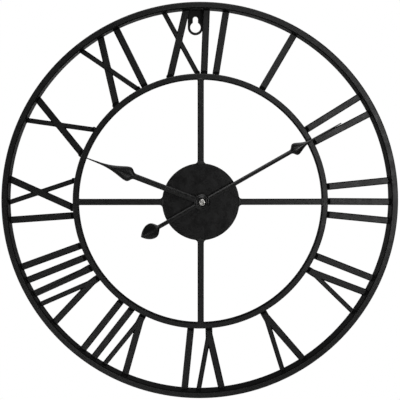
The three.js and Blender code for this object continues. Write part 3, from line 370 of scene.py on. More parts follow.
def add(material, kind, inputs=None, out=0, **properties):
    """Adds a node with its properties, sets or links its inputs, and returns one output."""
    tree = material.node_tree
    made = tree.nodes.new(kind)
    for key, value in properties.items():
        setattr(made, key, value)
    for key, value in (inputs or {}).items():
        if isinstance(value, bpy.types.NodeSocket):
            tree.links.new(value, made.inputs[key])
        else:
            made.inputs[key].default_value = value
    return made.outputs[out] if made.outputs else None


def settings():
    """The scene's clock settings."""
    return bpy.context.scene.open_steel_clock


def look(node, tone, gloss, relief, **rest):
    """The shader's inputs for a mixed tone, a roughness, a relief, and what else there is."""
    return {
        "Base Color": node(MIX, tone, MIXED, data_type="RGBA"),
        "Roughness": gloss,
        "Normal": node(BUMP, relief),
    } | {key.replace("_", " "): value for key, value in rest.items()}


def powder_coated_steel_bar(node, place):
    """Satin black powder coat: orange peel over a fine grain spreads lights in soft patches."""
    return powder_coat(node, place, 0.28, 0.42)


def powder_coated_steel_sheet(node, place):
    """The disc's coat, laid on flat sheet and closer to gloss, so that it stays darker."""
    return powder_coat(node, place, 0.2, 0.34)


def powder_coat(node, place, smoothest, roughest):
    """A black powder coat between two roughnesses."""
    code = settings().colours.coat
    # Orange peel runs 1.5 to 3 mm between crests. The grain is about 0.1 mm, and is drawn at
    # 0.6 mm to show.
    peel = node(NOISE, grains(place, 2.4, 1.0))
    grain = node(NOISE, grains(place, 0.6, 3.0, 0.6))
    cloud = node(NOISE, grains(place, 9.0, 3.0))
    tone = between(cloud, shade(code, 0.5), shade(code, 1.4))
    tone = node(MIX, tone, MIXED, data_type="RGBA")
    tone = between(node(SPAN, spread(grain, 0.0, 0.35)), tone, shade(code, 1.9))
    # The gloss follows the mean of the grain and the cloud.
    mean = node(MIX, {"Factor": 0.5, "A": grain, "B": cloud})
    gloss = node(SPAN, spread(mean, smoothest, roughest, 0.35, 0.65))
    relief = bumps(grain, 0.012) | {"Normal": node(BUMP, bumps(peel, 0.035))}
    return look(node, tone, gloss, relief, IOR=1.5)


def grainy(node, place, grain, dark, light, smoothest, roughest, depth, **rest):
    """A finish whose tone, gloss and relief follow one noise, of (mm, detail, roughness)."""
    noise = node(NOISE, grains(place, *grain))
    gloss = node(SPAN, spread(noise, smoothest, roughest))
    return look(node, between(noise, dark, light), gloss, bumps(noise, depth), **rest)


COARSE = (0.7, 3.0, 0.6)  # a coat's grain is about 0.1 mm, and is drawn at 0.7 mm to show


def powder_coat_drawn_thin(node, place):
    """Powder coat over a cut edge or a weld: it draws thin and dries matt, and its tone is painted
    shade, a tenth to four tenths of the coat's black, so edges and welds look dark.
    """
    code = settings().colours.coat
    # Painted shade: both tones lie far below the coat's own black.
    dark, light = shade(code, 0.1), shade(code, 0.4)
    rest = {"IOR": 1.5, "Specular_IOR_Level": 0.12}
    return grainy(node, place, COARSE, dark, light, 0.62, 0.75, 0.02, **rest)


def powder_coated_hanger(node, place):
    """The hanger's coat, sprayed from the front only: the same black, thinner and rougher."""
    code = settings().colours.coat
    dark, light = shade(code, 0.6), shade(code, 1.0)
    return grainy(node, place, COARSE, dark, light, 0.5, 0.62, 0.015, IOR=1.5)


def stoved_enamel(node, place):
    """Stoved enamel on pressed steel: smoother and glossier than the frame, with dust nibs."""
    code = settings().colours.enamel
    # Dust nibs are about 0.2 mm, drawn at 0.8 mm to show.
    flow = node(NOISE, grains(place, 5.0))
    nibs = node(NOISE, grains(place, 0.8))
    tone = between(flow, shade(code, 0.85), shade(code, 1.25))
    relief = bumps(nibs, 0.006) | {"Normal": node(BUMP, bumps(flow, 0.02))}
    gloss = node(SPAN, spread(flow, 0.2, 0.3))
    return look(node, tone, gloss, relief, IOR=1.5)


def turned_metal(node, place, code, roughness, pitch):
    """Turned metal: tool marks in rings about the hands' axis draw highlights out into arcs."""
    centre = (-SHAFT[0] * MM, 0.0, 0.0)
    centred = node(MAPPING, {"Vector": place, "Location": centre})
    # Tool marks are about 0.05 mm apart, drawn several times coarser to show.
    rings = {"Vector": centred, "Scale": per_mm(pitch) / WAVES_PER_UNIT}
    rings |= {"Distortion": 0.4, "Detail": 1.0}
    marks = node(WAVE, rings, "Fac", wave_type="RINGS", rings_direction="Y")
    stain = node(NOISE, grains(place, 3.0, 3.0))
    tone = between(stain, shade(code, 0.85), shade(code, 1.05))
    gloss = node(SPAN, spread(stain, roughness - 0.06, roughness + 0.08))
    return look(node, tone, gloss, bumps(marks, 0.01), Metallic=1.0)


def bright_nickel_plate(node, place):
    """Bright nickel plate on a turned nut: a nearly white mirror broken by turning marks."""
    return turned_metal(node, place, settings().colours.nickel, 0.24, 0.5)


def turned_brass(node, place):
    """Turned brass: warm, with clear turning marks and a slight tarnish."""
    return turned_metal(node, place, settings().colours.brass, 0.3, 0.4)


def nickel_plated_brass(node, place):
    """Nickel-plated brass of the bush's nut and washer: dull grey, with clear turning marks."""
    return turned_metal(node, place, "7d7b77", 0.36, 0.4)


def plated_spring_steel(node, place):
    """Nickel-plated spring steel: grey, rolled lengthwise, a little duller than the nut."""
    code = settings().colours.spring
    stretched = node(MAPPING, {"Vector": place, "Scale": (0.08, 1.0, 1.0)})
    # Rolling lines are about 0.05 mm apart, drawn at 0.3 mm to show.
    dark, light = shade(code, 0.8), shade(code, 1.1)
    return grainy(node, stretched, (0.3,), dark, light, 0.28, 0.42, 0.004, Metallic=1.0)


def nitrile_rubber(node, place):
    """Moulded nitrile rubber: deep matt black with a dusty bloom."""
    code = settings().colours.rubber
    bloom = node(NOISE, grains(place, 1.5, 4.0, 0.65))
    tone = between(node(SPAN, spread(bloom, 0.0, 1.0)), linear(code), shade(code, 3.0))
    return look(node, tone, 0.82, bumps(bloom, 0.02), IOR=1.52)


def moulded(node, place, code, roughness, texture, depth, glow=0.0):
    """Moulded plastic: an even colour with flow marks, and the tool's spark-eroded texture."""
    # The tool's pits are about 0.1 mm across, drawn several times coarser to show.
    flow = node(NOISE, grains(place, 12.0, 3.0))
    pits = {"Vector": place, "Scale": per_mm(texture), "Smoothness": 0.6}
    pits = node(CELLS, pits, "Distance", feature="SMOOTH_F1")
    tone = between(flow, shade(code, 0.9), shade(code, 1.12))
    gloss = node(SPAN, spread(pits, roughness - 0.05, roughness + 0.05, 0.0, 1.0))
    glowing = {"Subsurface_Weight": glow, "Subsurface_Radius": (0.0012, 0.001, 0.0008)}
    return look(node, tone, gloss, bumps(pits, depth), IOR=1.5, **glowing)


def textured_abs(node, place):
    """Textured ABS: the case's matt, spark-eroded surface."""
    return moulded(node, place, settings().colours.case, 0.55, 0.5, 0.03)


def grey_abs(node, place):
    """Grey ABS of the inner plate and the coil's bobbin: a plain mould finish."""
    return moulded(node, place, "7d8582", 0.42, 0.4, 0.004)


def black_abs(node, place):
    """Black ABS of the setting knob: smoother than the case, polished by fingers."""
    return moulded(node, place, "232323", 0.36, 0.45, 0.006)


def white_acetal(node, place):
    """White acetal of the wheels: waxy and slightly translucent."""
    return moulded(node, place, settings().colours.acetal, 0.34, 0.4, 0.003, 0.25)


def amber_polyester(node, place):
    """Amber polyester of the seconds wheel: warm and slightly translucent."""
    return moulded(node, place, "c9973f", 0.32, 0.4, 0.003, 0.2)


def printed_film_jacket(node, place):
    """A dry cell's jacket: glossy film over steel, in two plain tones with no lettering."""
    code = settings().colours.jacket
    along = node("ShaderNodeSeparateXYZ", {"Vector": place}, "X")
    shoulder = (high("aa_cell")[0] - SHOULDER_WIDTH) * MM
    band = node("ShaderNodeMath", {0: along, 1: shoulder}, operation="GREATER_THAN")
    film = node(NOISE, grains(place, 0.5))
    dark = between(film, shade(code, 0.92), shade(code, 1.08))
    light = between(film, shade("a7a39a", 0.92), shade("a7a39a", 1.05))
    dark = node(MIX, dark, MIXED, data_type="RGBA")
    light = node(MIX, light, MIXED, data_type="RGBA")
    gloss = node(SPAN, spread(film, 0.2, 0.3))
    rest = {"Metallic": 0.25, "Coat_Weight": 0.5, "Coat_Roughness": 0.12}
    return look(node, between(band, dark, light), gloss, bumps(film, 0.003), **rest)


def sintered_ferrite(node, place):
    """Sintered ferrite of the rotor's magnet: dark grey and faintly crystalline."""
    grain = node(NOISE, grains(place, 0.3, 4.0, 0.7))
    crystals = node(SPAN, spread(grain, 0.0, 1.0))
    tone = between(crystals, linear("3a3b3e"), linear("5c5e62"))
    return look(node, tone, 0.5, bumps(grain, 0.01), Metallic=0.4)


def enamelled_copper_wire(node, place):
    """Enamelled copper wire: turns lie side by side, each with its own glint, and dark and light
    copper bands paint shade between the turns and a highlight on each.
    """
    # The real wire is about 0.03 mm thick, drawn at 0.3 mm to show.
    turns = {"Vector": place, "Scale": per_mm(0.3) / WAVES_PER_UNIT}
    turns |= {"Distortion": 0.6, "Detail": 1.0}
    turns = node(WAVE, turns, "Fac", wave_type="BANDS", bands_direction="Z")
    # Painted shade and highlight: the tone runs dark to light copper across each turn.
    tone = between(turns, linear("7a3a1c"), linear("c9733d"))
    return look(node, tone, 0.34, bumps(turns, 0.05), Metallic=1.0)


def glass_fibre_board(node, place):
    """Glass-fibre board under green solder mask: the weave shows through as a fine check."""
    code = settings().colours.board
    # The weave's pitch is 0.5 mm.
    threads = {"Vector": place, "Scale": per_mm(0.5) / WAVES_PER_UNIT}
    warp = node(WAVE, threads, "Fac", wave_type="BANDS", bands_direction="X")
    weft = node(WAVE, threads, "Fac", wave_type="BANDS", bands_direction="Z")
    weave = node("ShaderNodeMath", {0: warp, 1: weft}, operation="MULTIPLY")
    tone = between(weave, linear(code), shade(code, 1.5))
    return look(node, tone, 0.32, bumps(weave, 0.01), Coat_Weight=0.3)


def matt_studio_paper(node, place):
    """Matt paper under the clock: nearly white, and seen at full brightness like the surround."""
    fibre = node(NOISE, grains(place, 3.0, 3.0))
    tone = between(fibre, linear("f2f2f0"), linear("f8f8f6"))
    base = node(MIX, tone, MIXED, data_type="RGBA")
    seen = node("ShaderNodeLightPath", out="Is Camera Ray")
    return {
        "Base Color": base,
        "Roughness": 0.9,
        "Emission Color": base,
        "Emission Strength": seen,
    }


MADE = {}


def finish(maker):
    """A finish's material, made once: its pattern on Object coordinates, then its shader.

    A maker gets a function that adds a node to this material, and the place to read.
    """
    if maker.__name__ not in MADE:
        material = bpy.data.materials.new(maker.__name__.replace("_", " "))
        material.use_nodes = True
        material.node_tree.nodes.clear()
        node = partial(add, material)
        inputs = maker(node, node("ShaderNodeTexCoord", out="Object"))
        shader = node("ShaderNodeBsdfPrincipled", inputs, "BSDF")
        node("ShaderNodeOutputMaterial", {"Surface": shader})
        MADE[maker.__name__] = material
    return MADE[maker.__name__]


def dress(node, maker, edge=0.0, edge_maker=None):
    """Gives a CAD node its finish, and rounds its edges by this many millimetres."""
    shown = NODES[node]
    shown.data.materials.clear()
    shown.data.materials.append(finish(maker))
    if edge:
        weld = shown.modifiers.new("Join triangles", "WELD")
        weld.merge_threshold = 0.002 * MM
        bevel = shown.modifiers.new("Rounded edges", "BEVEL")
        bevel.width = edge * MM
        bevel.segments = 3
        bevel.limit_method = "ANGLE"
        bevel.angle_limit = math.radians(40)
        bevel.use_clamp_overlap = False
        # The rounded edges can take a second finish that paints shade on them.
        if edge_maker:
            shown.data.materials.append(finish(edge_maker))
            bevel.material = 1


def coat_edges(made, reach=math.inf):
    """Puts the thin coat's painted shade on a bar's rounded front edges, out to this reach in mm.

    A rounded edge's faces are the ones that neither lie in the dial's plane nor stand square
    to it.
    """
    made.data.materials.append(finish(powder_coat_drawn_thin))
    normals = np.empty(len(made.data.polygons) * 3)
    made.data.polygons.foreach_get("normal", normals)
    tilt = np.abs(normals.reshape(-1, 3)[:, 1])
    x, depth, z = centres(made).T
    # These faces get the painted shade.
    rounding = (tilt > 0.1) & (tilt < 0.99) & (np.hypot(x, z) < reach) & (depth < depth.mean())
    made.data.polygons.foreach_set("material_index", rounding.astype(np.int32))


# ---- the welded frame

PAINTED = ("clock_body", "black_paint")  # the frame's body and material slot
WELD_GAP = 0.2  # between two parts of the frame before they are welded, in mm
BUSH_HOLE = 5.5  # the radius of the disc's hole round the movement's bush
COAT_BUILD = 0.35  # the coat's build on the outer ring's inner wall
SPOKE_HALF = 3.15  # half a spoke's width
SPOKE_EDGE = 0.8  # the rounding of its long edges
DISC_LAP, RING_LAP = 1.2, 0.8  # how far it runs past the disc's and the dial ring's edges
DISC_FLARE, RING_FLARE = 3.2, 1.8  # how far it widens along its length at each end
END_GAP = 8.5  # ends of one numeral that stand further apart than this are two ends


class WALLCLOCK_OT_rings(bpy.types.Operator):
    """Builds the outer ring, the dial ring and the centre disc"""

    bl_idname = "wallclock.rings"
    bl_label = "Rings and disc"

    def execute(self, context):
        sizes = settings().frame
        outer = round(high("hanger_plate")[2] + WELD_GAP, 1) - COAT_BUILD
        dial = high("spoke_top")[2] + WELD_GAP
        bar, sheet = powder_coated_steel_bar, powder_coated_steel_sheet
        for node, shape, inner, edge, segments, maker in (
            ("outer_ring", "bar", outer, sizes.ring_edge, 360, bar),
            ("dial_ring", "bar", dial, sizes.dial_edge, 300, bar),
            ("centre_disc", "plate", BUSH_HOLE, sizes.disc_edge, 180, sheet),
        ):
            lo, hi = low(node), high(node)
            ring = turned_ring(rounded(inner, hi[0], lo[1], hi[1], edge), segments)
            made = piece(f"{node}_{shape}", [ring], maker, *PAINTED, node)
            # A ring's inner front edge gets painted shade while its outer edge keeps its gloss, and
            # the disc's whole front edge gets painted shade.
            coat_edges(made, (inner + hi[0]) / 2 if shape == "bar" else math.inf)
        return {"FINISHED"}


class WALLCLOCK_OT_spokes(bpy.types.Operator):
    """Builds the four spokes with their flared ends"""

    bl_idname = "wallclock.spokes"
    bl_label = "Spokes"

    def execute(self, context):
        sizes = settings().frame
        lo, hi = low("spoke_right"), high("spoke_right")
        disc_edge, ring_edge = high("centre_disc")[0], hi[0] + WELD_GAP
        # Cross-sections stand closer together where the width changes.
        disc_end = disc_edge - DISC_LAP + 7.5 * np.linspace(0, 1, 26) ** 1.3
        plain = np.linspace(disc_edge + 9, ring_edge - 6, 12)
        ring_end = ring_edge + RING_LAP - 5 * np.linspace(1, 0, 20) ** 1.3
        along = np.concatenate([disc_end, plain, ring_end])
        # The half width grows as a quarter ellipse towards each end.
        near = np.clip((disc_edge + DISC_FLARE - along) / DISC_FLARE, 0, 1)
        far = np.clip((along - ring_edge + RING_FLARE) / RING_FLARE, 0, 1)
        grown = SPOKE_HALF + sizes.spoke_flare * (1 - np.sqrt(1 - near**2))
        grown = grown + sizes.spoke_fillet * (1 - np.sqrt(1 - far**2))
        # Only the flats follow the width, so the rounded edges keep their size.
        half = 5.0
        bar = rounded(-half, half, lo[1], hi[1], SPOKE_EDGE)
        cross = np.broadcast_to(bar, (len(along), *bar.shape)).copy()
        side = np.sign(cross[..., 0])
        cross[..., 0] = side * (grown[:, None] - (half - np.abs(cross[..., 0])))
        for index, name in enumerate(("top", "right", "bottom", "left")):
            spoke = skin(lay(along[:, None], cross, index * math.pi / 2))
            maker = powder_coated_steel_bar
            made = piece(f"spoke_{name}_bar", [spoke], maker, *PAINTED, f"spoke_{name}")
            coat_edges(made)
        return {"FINISHED"}


def bead(middle, tangent, half_length, radius, ripple, phase, squash):
    """A weld bead: a sausage along a tangent in the dial's plane, rippled as the weld was laid.

    At u along it and v round it, P = middle + u L t + R(u) (cos v n + squash sin v y), where
    R(u) = radius (1 - u^4)^0.5 (1 + ripple cos(9 u + phase)), n is square to t and y is depth.
    """
    u = np.sin(np.linspace(-0.47, 0.47, 13) * math.pi)
    v = np.linspace(0, 2 * math.pi, 12, endpoint=False)
    size = radius * np.sqrt(1 - u**4) * (1 + ripple * np.cos(9 * u + phase))
    along = np.array([tangent[0], 0, tangent[1]])
    out = np.array([-tangent[1], 0, tangent[0]])
    deep = np.array([0, squash, 0])
    spine = np.array(middle) + (u * half_length)[:, None] * along
    circle = np.cos(v)[:, None] * out + np.sin(v)[:, None] * deep
    return skin(spine[:, None] + size[:, None, None] * circle)


def fillet(radius, angle, half, outward, front, rise, run, phase):
    """A fillet weld laid across a numeral's end, in the corner that it makes with a ring's wall.

    At u across and v round its outline (a, b), with a along the numeral and b towards the front,
    P = (radius + outward a w(u)) n + u (half - 0.15) t, at depth front - b w(u), where n points
    out along the numeral, t is square to it and w(u) = (1 - u^6)^0.5 (1 + 0.05 cos(8 u + phase)).
    Points behind the wall or below the numeral's face stay put, hidden in the steel.
    """
    u = np.sin(np.linspace(-0.49, 0.49, 17) * math.pi)
    swell = np.sqrt(1 - u**6) * (1 + 0.05 * np.cos(8 * u + phase))
    v = np.linspace(0, math.pi / 2, 9)
    # The weld's face is a slightly hollow curve from the wall's top down to the numeral.
    face = np.stack([run * np.sin(v) ** 1.35, rise * np.cos(v) ** 1.35], -1)
    root = np.array([(run * 0.97, -0.3), (run * 0.5, -0.35), (-0.5, -0.35), (-0.5, rise * 0.95)])
    a, b = np.concatenate([face, root]).T
    out = np.array([math.cos(angle), 0, math.sin(angle)])
    side = np.array([-math.sin(angle), 0, math.cos(angle)])
    scale = swell[:, None]
    along = radius + outward * a * np.where(a > 0, scale, 1.0)
    across = u * (half - 0.15)
    points = along[..., None] * out + across[:, None, None] * side
    points[..., 1] = front - b * np.where(b > 0, scale, 1.0)
    return skin(points)


def strip_ends(node, radius):
    """Where a numeral meets a ring: the (middle angle, half width in mm) of each of its ends."""
    points = np.array([v.co for v in NODES[node].data.vertices]) / MM
    reach = np.hypot(points[:, 0], points[:, 2])
    angle = np.arctan2(points[:, 2], points[:, 0])[np.abs(reach - radius) < 0.15]
    middle = math.atan2(*(points.mean(0)[[2, 0]]))
    angle = np.sort(np.angle(np.exp(1j * (angle - middle))))
    groups = np.split(angle, np.where(np.diff(angle) > END_GAP / radius)[0] + 1)
    return [(middle + (g[0] + g[-1]) / 2, radius * (g[-1] - g[0]) / 2) for g in groups]


class WALLCLOCK_OT_numerals(bpy.types.Operator):
    """Finishes the numerals and the hanger, and lays the welds of the numerals and spokes"""

    bl_idname = "wallclock.numerals"
    bl_label = "Numerals and welds"

    def execute(self, context):
        sizes = settings().frame
        numerals = sorted(name for name in NODES if name.startswith("numeral_"))
        for name in numerals:
            # The numerals' rounded edges get painted shade.
            dress(name, powder_coated_steel_bar, sizes.numeral_edge, powder_coat_drawn_thin)
        dress("hanger_plate", powder_coated_hanger, 0.25)
        front = low(numerals[0])[1]
        inner = (high("dial_ring")[0] + WELD_GAP, 1, sizes.inner_rise, sizes.inner_run)
        outer = (round(high("hanger_plate")[2], 1), -1, sizes.outer_rise, sizes.outer_run)
        draw = np.random.default_rng(12)
        beads, pads = [], []
        for name in numerals:
            for radius, outward, rise, run in (inner, outer):
                for angle, half in strip_ends(name, radius):
                    phase, grow = draw.uniform(0, 2 * math.pi), draw.uniform(0.92, 1.08)
                    rise_here = rise * grow
                    beads.append(fillet(radius, angle, half, outward, front, rise_here, run, phase))
        # Painted shade: the welds take the darkened thin coat, for the shade where the numerals
        # meet the rings.
        maker = powder_coat_drawn_thin
        piece("weld_beads", beads, maker, *PAINTED, sharp=SOFT)
        # The spokes' welds are ground down to low pads.
        front = low("centre_disc")[1] + 0.12
        radius = 1.7
        for turn in np.arange(4) * math.pi / 2:
            for reach, half in ((high("centre_disc")[0], 3.9), (high("spoke_right")[0], 3.3)):
                middle = (reach * math.cos(turn), front, reach * math.sin(turn))
                tangent = (-math.sin(turn), math.cos(turn))
                phase, squash = draw.uniform(0, 2 * math.pi), sizes.pad_height / radius
                pads.append(bead(middle, tangent, half, radius, 0.12, phase, squash))
        piece("weld_pads", pads, powder_coated_steel_bar, *PAINTED, sharp=SOFT)
        return {"FINISHED"}


# ---- hands

BLADE_ROOT = 5.0  # where a blade starts under its hub, clear of the collet, in mm
SHEET = 0.8  # the hands' thickness
RIM = 0.3  # from a hub's front back to its blade's front edge
NUT_RADIUS = 3.4  # the radius that the nut's profile is drawn at
# Each hand's hub radius, bore, collet radius, boss height, seat radius, the height of its stem's
# ridge, and where its spade is widest as a share of the spade's length.
HANDS = {
    "hour_hand": (7.5, 2.8, 4.1, 0.6, 3.2, 0.9, 0.2),
    "minute_hand": (8.2, 1.8, 3.1, 1.2, 3.5, 0.8, 0.27),
}
HAND_SIZES = ("stem", "spade", "needle", "start", "length", "reach", "crown", "angle")


def spade_side(start, size, stem, spade, needle, reach, swell_at):
    """A spade's side as (distance, half width): two curves out and in, then a tapering needle."""
    widest, lift = start + swell_at * size, 0.5 * swell_at * size
    shoulder, waist = widest + 0.14 * size, widest + 0.36 * size
    swell = bezier(24, (start, stem), (start + lift, stem), (widest - lift, spade), (widest, spade))
    narrow = (start + size, needle)
    fall = bezier(40, (widest, spade), (shoulder, spade), (waist, 0.22 * spade), narrow)
    # The needle's last half millimetre closes to a point.
    tip = [(reach - 0.5, 0.55 * needle), (reach, 0.05)]
    return np.concatenate([[(BLADE_ROOT, stem)], swell, fall[1:], tip])


def tail_side(start, half, stem, reach):
    """A leaf's side as (distance, half width), from its pointed tip in to the hub."""
    size = reach - start
    widest, pull = start + 0.39 * size, 0.24 * size
    tip = (reach, 0.05), (reach - 0.13 * size, 0.53 * half)
    outer = bezier(28, *tip, (widest + pull, half), (widest, half))
    root = (start + 0.07 * size, 1.4 * stem), (start, stem)
    inner = bezier(22, (widest, half), (widest - pull, half), *root)
    return np.concatenate([outer, inner[1:], [(BLADE_ROOT, stem)]]) * (-1, 1)


def pressed_blade(side, front, back, crown, ridge, stem, angle):
    """A pressed hand: a rim of sheet with a crown pressed up along its middle.

    With half width h(s), q = w / h and e(s) = 1 - exp(-(h - stem) / 2), the front is at
    front - c(s) (1 - |q|^(1.15 + 0.65 e)), where c(s) = crown e + ridge, so the leaves are full
    and the stems hold a ridge. The edge turns down by 0.35 thick (1 - (1 - q^14)^0.5).
    """
    even = np.linspace(side[0, 0], side[-1, 0], 120)
    stations = np.unique(np.concatenate([side[:, 0], even]))
    half = np.interp(stations, side[:, 0], side[:, 1])
    swell = 1 - np.exp(-np.clip(half - stem, 0, None) / 2)
    # The ridge dies away where the blade narrows to a needle.
    rib = ridge * np.clip(half / stem, 0, 1) * np.clip(half / 0.5, 0, 1)
    height = crown * swell + rib
    q = np.sin(np.linspace(-0.5, 0.5, 25) * math.pi)
    rise = height[:, None] * (1 - np.abs(q) ** (1.15 + 0.65 * swell[:, None]))
    edge = 0.35 * (back - front) * (1 - np.sqrt(np.clip(1 - np.abs(q) ** 14, 0, 1)))
    top = np.stack([half[:, None] * q, front - rise + edge], -1)
    under = np.stack([half[:, None] * q[::-1], np.full((len(half), len(q)), back)], -1)
    cross = np.concatenate([top, under[:, 1:-1]], 1)
    return skin(lay(stations[:, None], cross, angle, SHAFT[[0, 2]]))


def hub(outer, front, back, collet_outer, bore, collet_back, boss, seat):
    """A hand's hub: a dished disc round its bore, with the collet that grips the shaft behind.

    The profile in (radius, depth) rises from a rolled rim to a crest, falls into a groove and
    rises again to the boss, and runs down the bore and back along the collet.
    """
    crest = front - boss
    profile = np.array([
        (bore, front - 0.04), (seat, front - 0.04), (seat + 0.3, crest + 0.35 * boss),
        (seat + 0.7, crest + 0.06 * boss), (seat + 1.1, crest + 0.02 * boss),
        (0.62 * outer, crest + 0.13 * boss), (0.70 * outer, crest + 0.34 * boss),
        (0.735 * outer, crest + 0.52 * boss), (0.77 * outer, crest + 0.46 * boss),
        (0.84 * outer, crest + 0.55 * boss), (0.93 * outer, crest + 0.8 * boss),
        (0.98 * outer, front + 0.15), (outer, front + 0.35), (outer, back - 0.1),
        (outer - 0.1, back), (collet_outer + 0.15, back), (collet_outer, back + 0.15),
        (collet_outer, collet_back), (bore, collet_back),
    ])
    return turned_ring(profile, 72, SHAFT[[0, 2]])


class WALLCLOCK_OT_hands(bpy.types.Operator):
    """Builds the two pressed hands"""

    bl_idname = "wallclock.hands"
    bl_label = "Hands"

    def execute(self, context):
        sizes = settings().hands
        for name, (outer, bore, collet, boss, seat, ridge, swell_at) in HANDS.items():
            kind = name.split("_")[0]
            stem, spade, needle, start, size, reach, crown, angle = (
                getattr(sizes, f"{kind}_{key}") for key in HAND_SIZES
            )
            stem, spade, needle = stem / 2, spade / 2, needle / 2
            sides = [spade_side(start, size, stem, spade, needle, reach, swell_at)]
            if kind == "minute":
                width = sizes.tail_width / 2
                sides.append(tail_side(sizes.tail_start, width, stem, sizes.tail_reach))
            front, collet_back = low(name)[1], high(name)[1]
            back = front + SHEET
            skins = [
                pressed_blade(side, front + RIM, back, crown, ridge, stem, angle)
                for side in sides
            ]
            skins.append(hub(outer, front, back, collet, bore, collet_back, boss, seat))
            piece(f"{name}_pressing", skins, stoved_enamel, f"{name}_body", "hand_paint", name)
        return {"FINISHED"}


class WALLCLOCK_OT_nut(bpy.types.Operator):
    """Builds the hands' nut: a knurled rim, a chamfer and a dished, drilled face"""

    bl_idname = "wallclock.nut"
    bl_label = "Hand nut"

    def execute(self, context):
        lo, hi = low("hand_nut"), high("hand_nut")
        front, back = lo[1], hi[1]
        scale = (hi[0] - lo[0]) / 2 / NUT_RADIUS
        profile = np.array([
            (0.01, front + 0.75), (0.55, front + 0.7), (0.75, front + 0.25), (1.0, front + 0.06),
            (1.5, front), (2.2, front + 0.02), (2.65, front + 0.12), (3.1, front + 0.4),
            (3.32, front + 0.7), (3.4, front + 1.0), (3.4, back - 0.35), (3.3, back - 0.12),
            (3.0, back), (0.5, back),
        ])
        x, y, z = turned(profile * (scale, 1), 96)
        points, faces = skin(np.stack([SHAFT[0] + x, y, SHAFT[2] + z], -1))
        # Knurling: 24 shallow grooves on the rim.
        reach, turn = polar(points, SHAFT[[0, 2]])
        grip = np.clip((reach - 3.0 * scale) / 0.3, 0, 1)
        reach = reach * (1 - 0.035 * grip * (0.5 + 0.5 * np.cos(24 * turn)))
        points[:, 0] = SHAFT[0] + reach * np.cos(turn)
        points[:, 2] = SHAFT[2] + reach * np.sin(turn)
        nut = [(points, faces)]
        maker = bright_nickel_plate
        piece("hand_nut_turned", nut, maker, "minute_hand_body", "bright_steel", "hand_nut")
        return {"FINISHED"}


# ---- movement

# Each finish's nodes, with the rounding of their edges in mm.
FINISHES = {
    textured_abs: {"front_case": 0.3, "rear_cover": 0.25},
    black_abs: {"setting_knob": 0.2},
    grey_abs: {"train_plate": 0.1, "coil_bobbin": 0.0},
    nickel_plated_brass: {"bush_nut": 0.3, "bush_washer": 0.1},
    nitrile_rubber: {"rubber_washer": 0.1},
    turned_brass: {"cannon_pinion": 0.0},
    white_acetal: {
        f"{name}_wheel": 0.0 for name in ("hour", "centre", "minute_work", "third", "step")
    },
    amber_polyester: {"seconds_wheel": 0.0},
    sintered_ferrite: {"rotor": 0.0},
    enamelled_copper_wire: {"coil_winding": 0.0},
    glass_fibre_board: {"circuit_board": 0.0},
    plated_spring_steel: {
        "stator": 0.0, "quartz_crystal": 0.1, "positive_contact": 0.0, "negative_contact": 0.0
    },
}


class WALLCLOCK_OT_movement(bpy.types.Operator):
    """Finishes the movement: its case, fixings, wheels, coil and board"""

    bl_idname = "wallclock.movement"
    bl_label = "Movement"

    def execute(self, context):
        for maker, nodes in FINISHES.items():
            for node, edge in nodes.items():
                dress(node, maker, edge)
        return {"FINISHED"}


class WALLCLOCK_OT_cell(bpy.types.Operator):
    """Builds the dry cell: a profile of (radius, distance) turned about a line along X"""

    bl_idname = "wallclock.cell"
    bl_label = "Dry cell"

    def execute(self, context):
        lo, hi = low("aa_cell"), high("aa_cell")
        middle = (lo + hi) / 2
        radius = (hi[1] - lo[1]) / 2
        end, tip = lo[0], hi[0]
        shoulder = tip - 1.0
        profile = np.array([
            (0.01, end + 0.35), (4.2, end + 0.35), (4.6, end + 0.02), (5.6, end),
            (6.2, end + 0.1), (6.5, end + 0.5), (6.7, end + 0.35), (radius - 0.25, end + 0.35),
            (radius - 0.05, end + 0.6), (radius, end + 1.0), (radius, shoulder - 0.9),
            (radius - 0.08, shoulder - 0.5), (radius - 0.4, shoulder - 0.2),
            (6.2, shoulder - 0.35), (5.9, shoulder - 0.1), (3.6, shoulder),
            (2.95, shoulder + 0.05), (2.7, shoulder + 0.2), (2.65, tip - 0.2),
            (2.45, tip - 0.03), (2.2, tip), (0.01, tip),
        ])
        y, x, z = turned(profile, 96)
        cell = skin(np.stack([x, middle[1] + y, middle[2] + z], -1))
        maker = printed_film_jacket
        made = piece("cell_body_turned", [cell], maker, "cell_body", "cell_jacket", "aa_cell")
        # The bare steel ends: every face whose middle is off the jacket.
        made.data.materials.append(finish(plated_spring_steel))
        off_axis = centres(made) - middle
        bare = np.hypot(off_axis[:, 1], off_axis[:, 2]) < radius - 0.3
        made.data.polygons.foreach_set("material_index", bare.astype(np.int32))
        return {"FINISHED"}


class WALLCLOCK_OT_knob(bpy.types.Operator):
    """Adds the ribbed grip that is moulded on the setting knob's face"""

    bl_idname = "wallclock.knob"
    bl_label = "Setting knob"

    def execute(self, context):
        face = high("setting_knob")[1]
        axis = np.array(JOINTS["setting_knob_turn"]["pos_m"])[[0, 2]] / MM
        profile = np.array([
            (3.0, face - 0.08), (3.05, face + 0.12), (3.25, face + 0.28), (3.9, face + 0.32),
            (4.4, face + 0.28), (4.6, face + 0.12), (4.62, face - 0.08),
        ])
        points, faces = turned_ring(profile, 240, axis)
        # Between its 24 ribs, the ring stands up to 0.81 less proud of the knob's face.
        proud = np.clip(points[:, 1] - face, 0, None)
        points[:, 1] -= proud * 0.405 * (1 - np.cos(24 * polar(points, axis)[1]))
        grip, body = [(points, faces)], "setting_knob_body"
        piece("setting_knob_grip", grip, black_abs, body, "knob_plastic", sharp=SOFT)
        return {"FINISHED"}


# ---- stage

FLOOR_HEIGHT, FLOOR_RADIUS, FLOOR_DEPTH = -700.0, 1500.0, 10.0  # in mm
SENSOR_WIDTH = 36.0  # in mm
AIM = (-0.0008, 0.00205)  # the point across and up, in metres, that the camera looks at
MIDDLE = (0.0, 0.0, 0.0)
BOX = (0.5, 0.5)
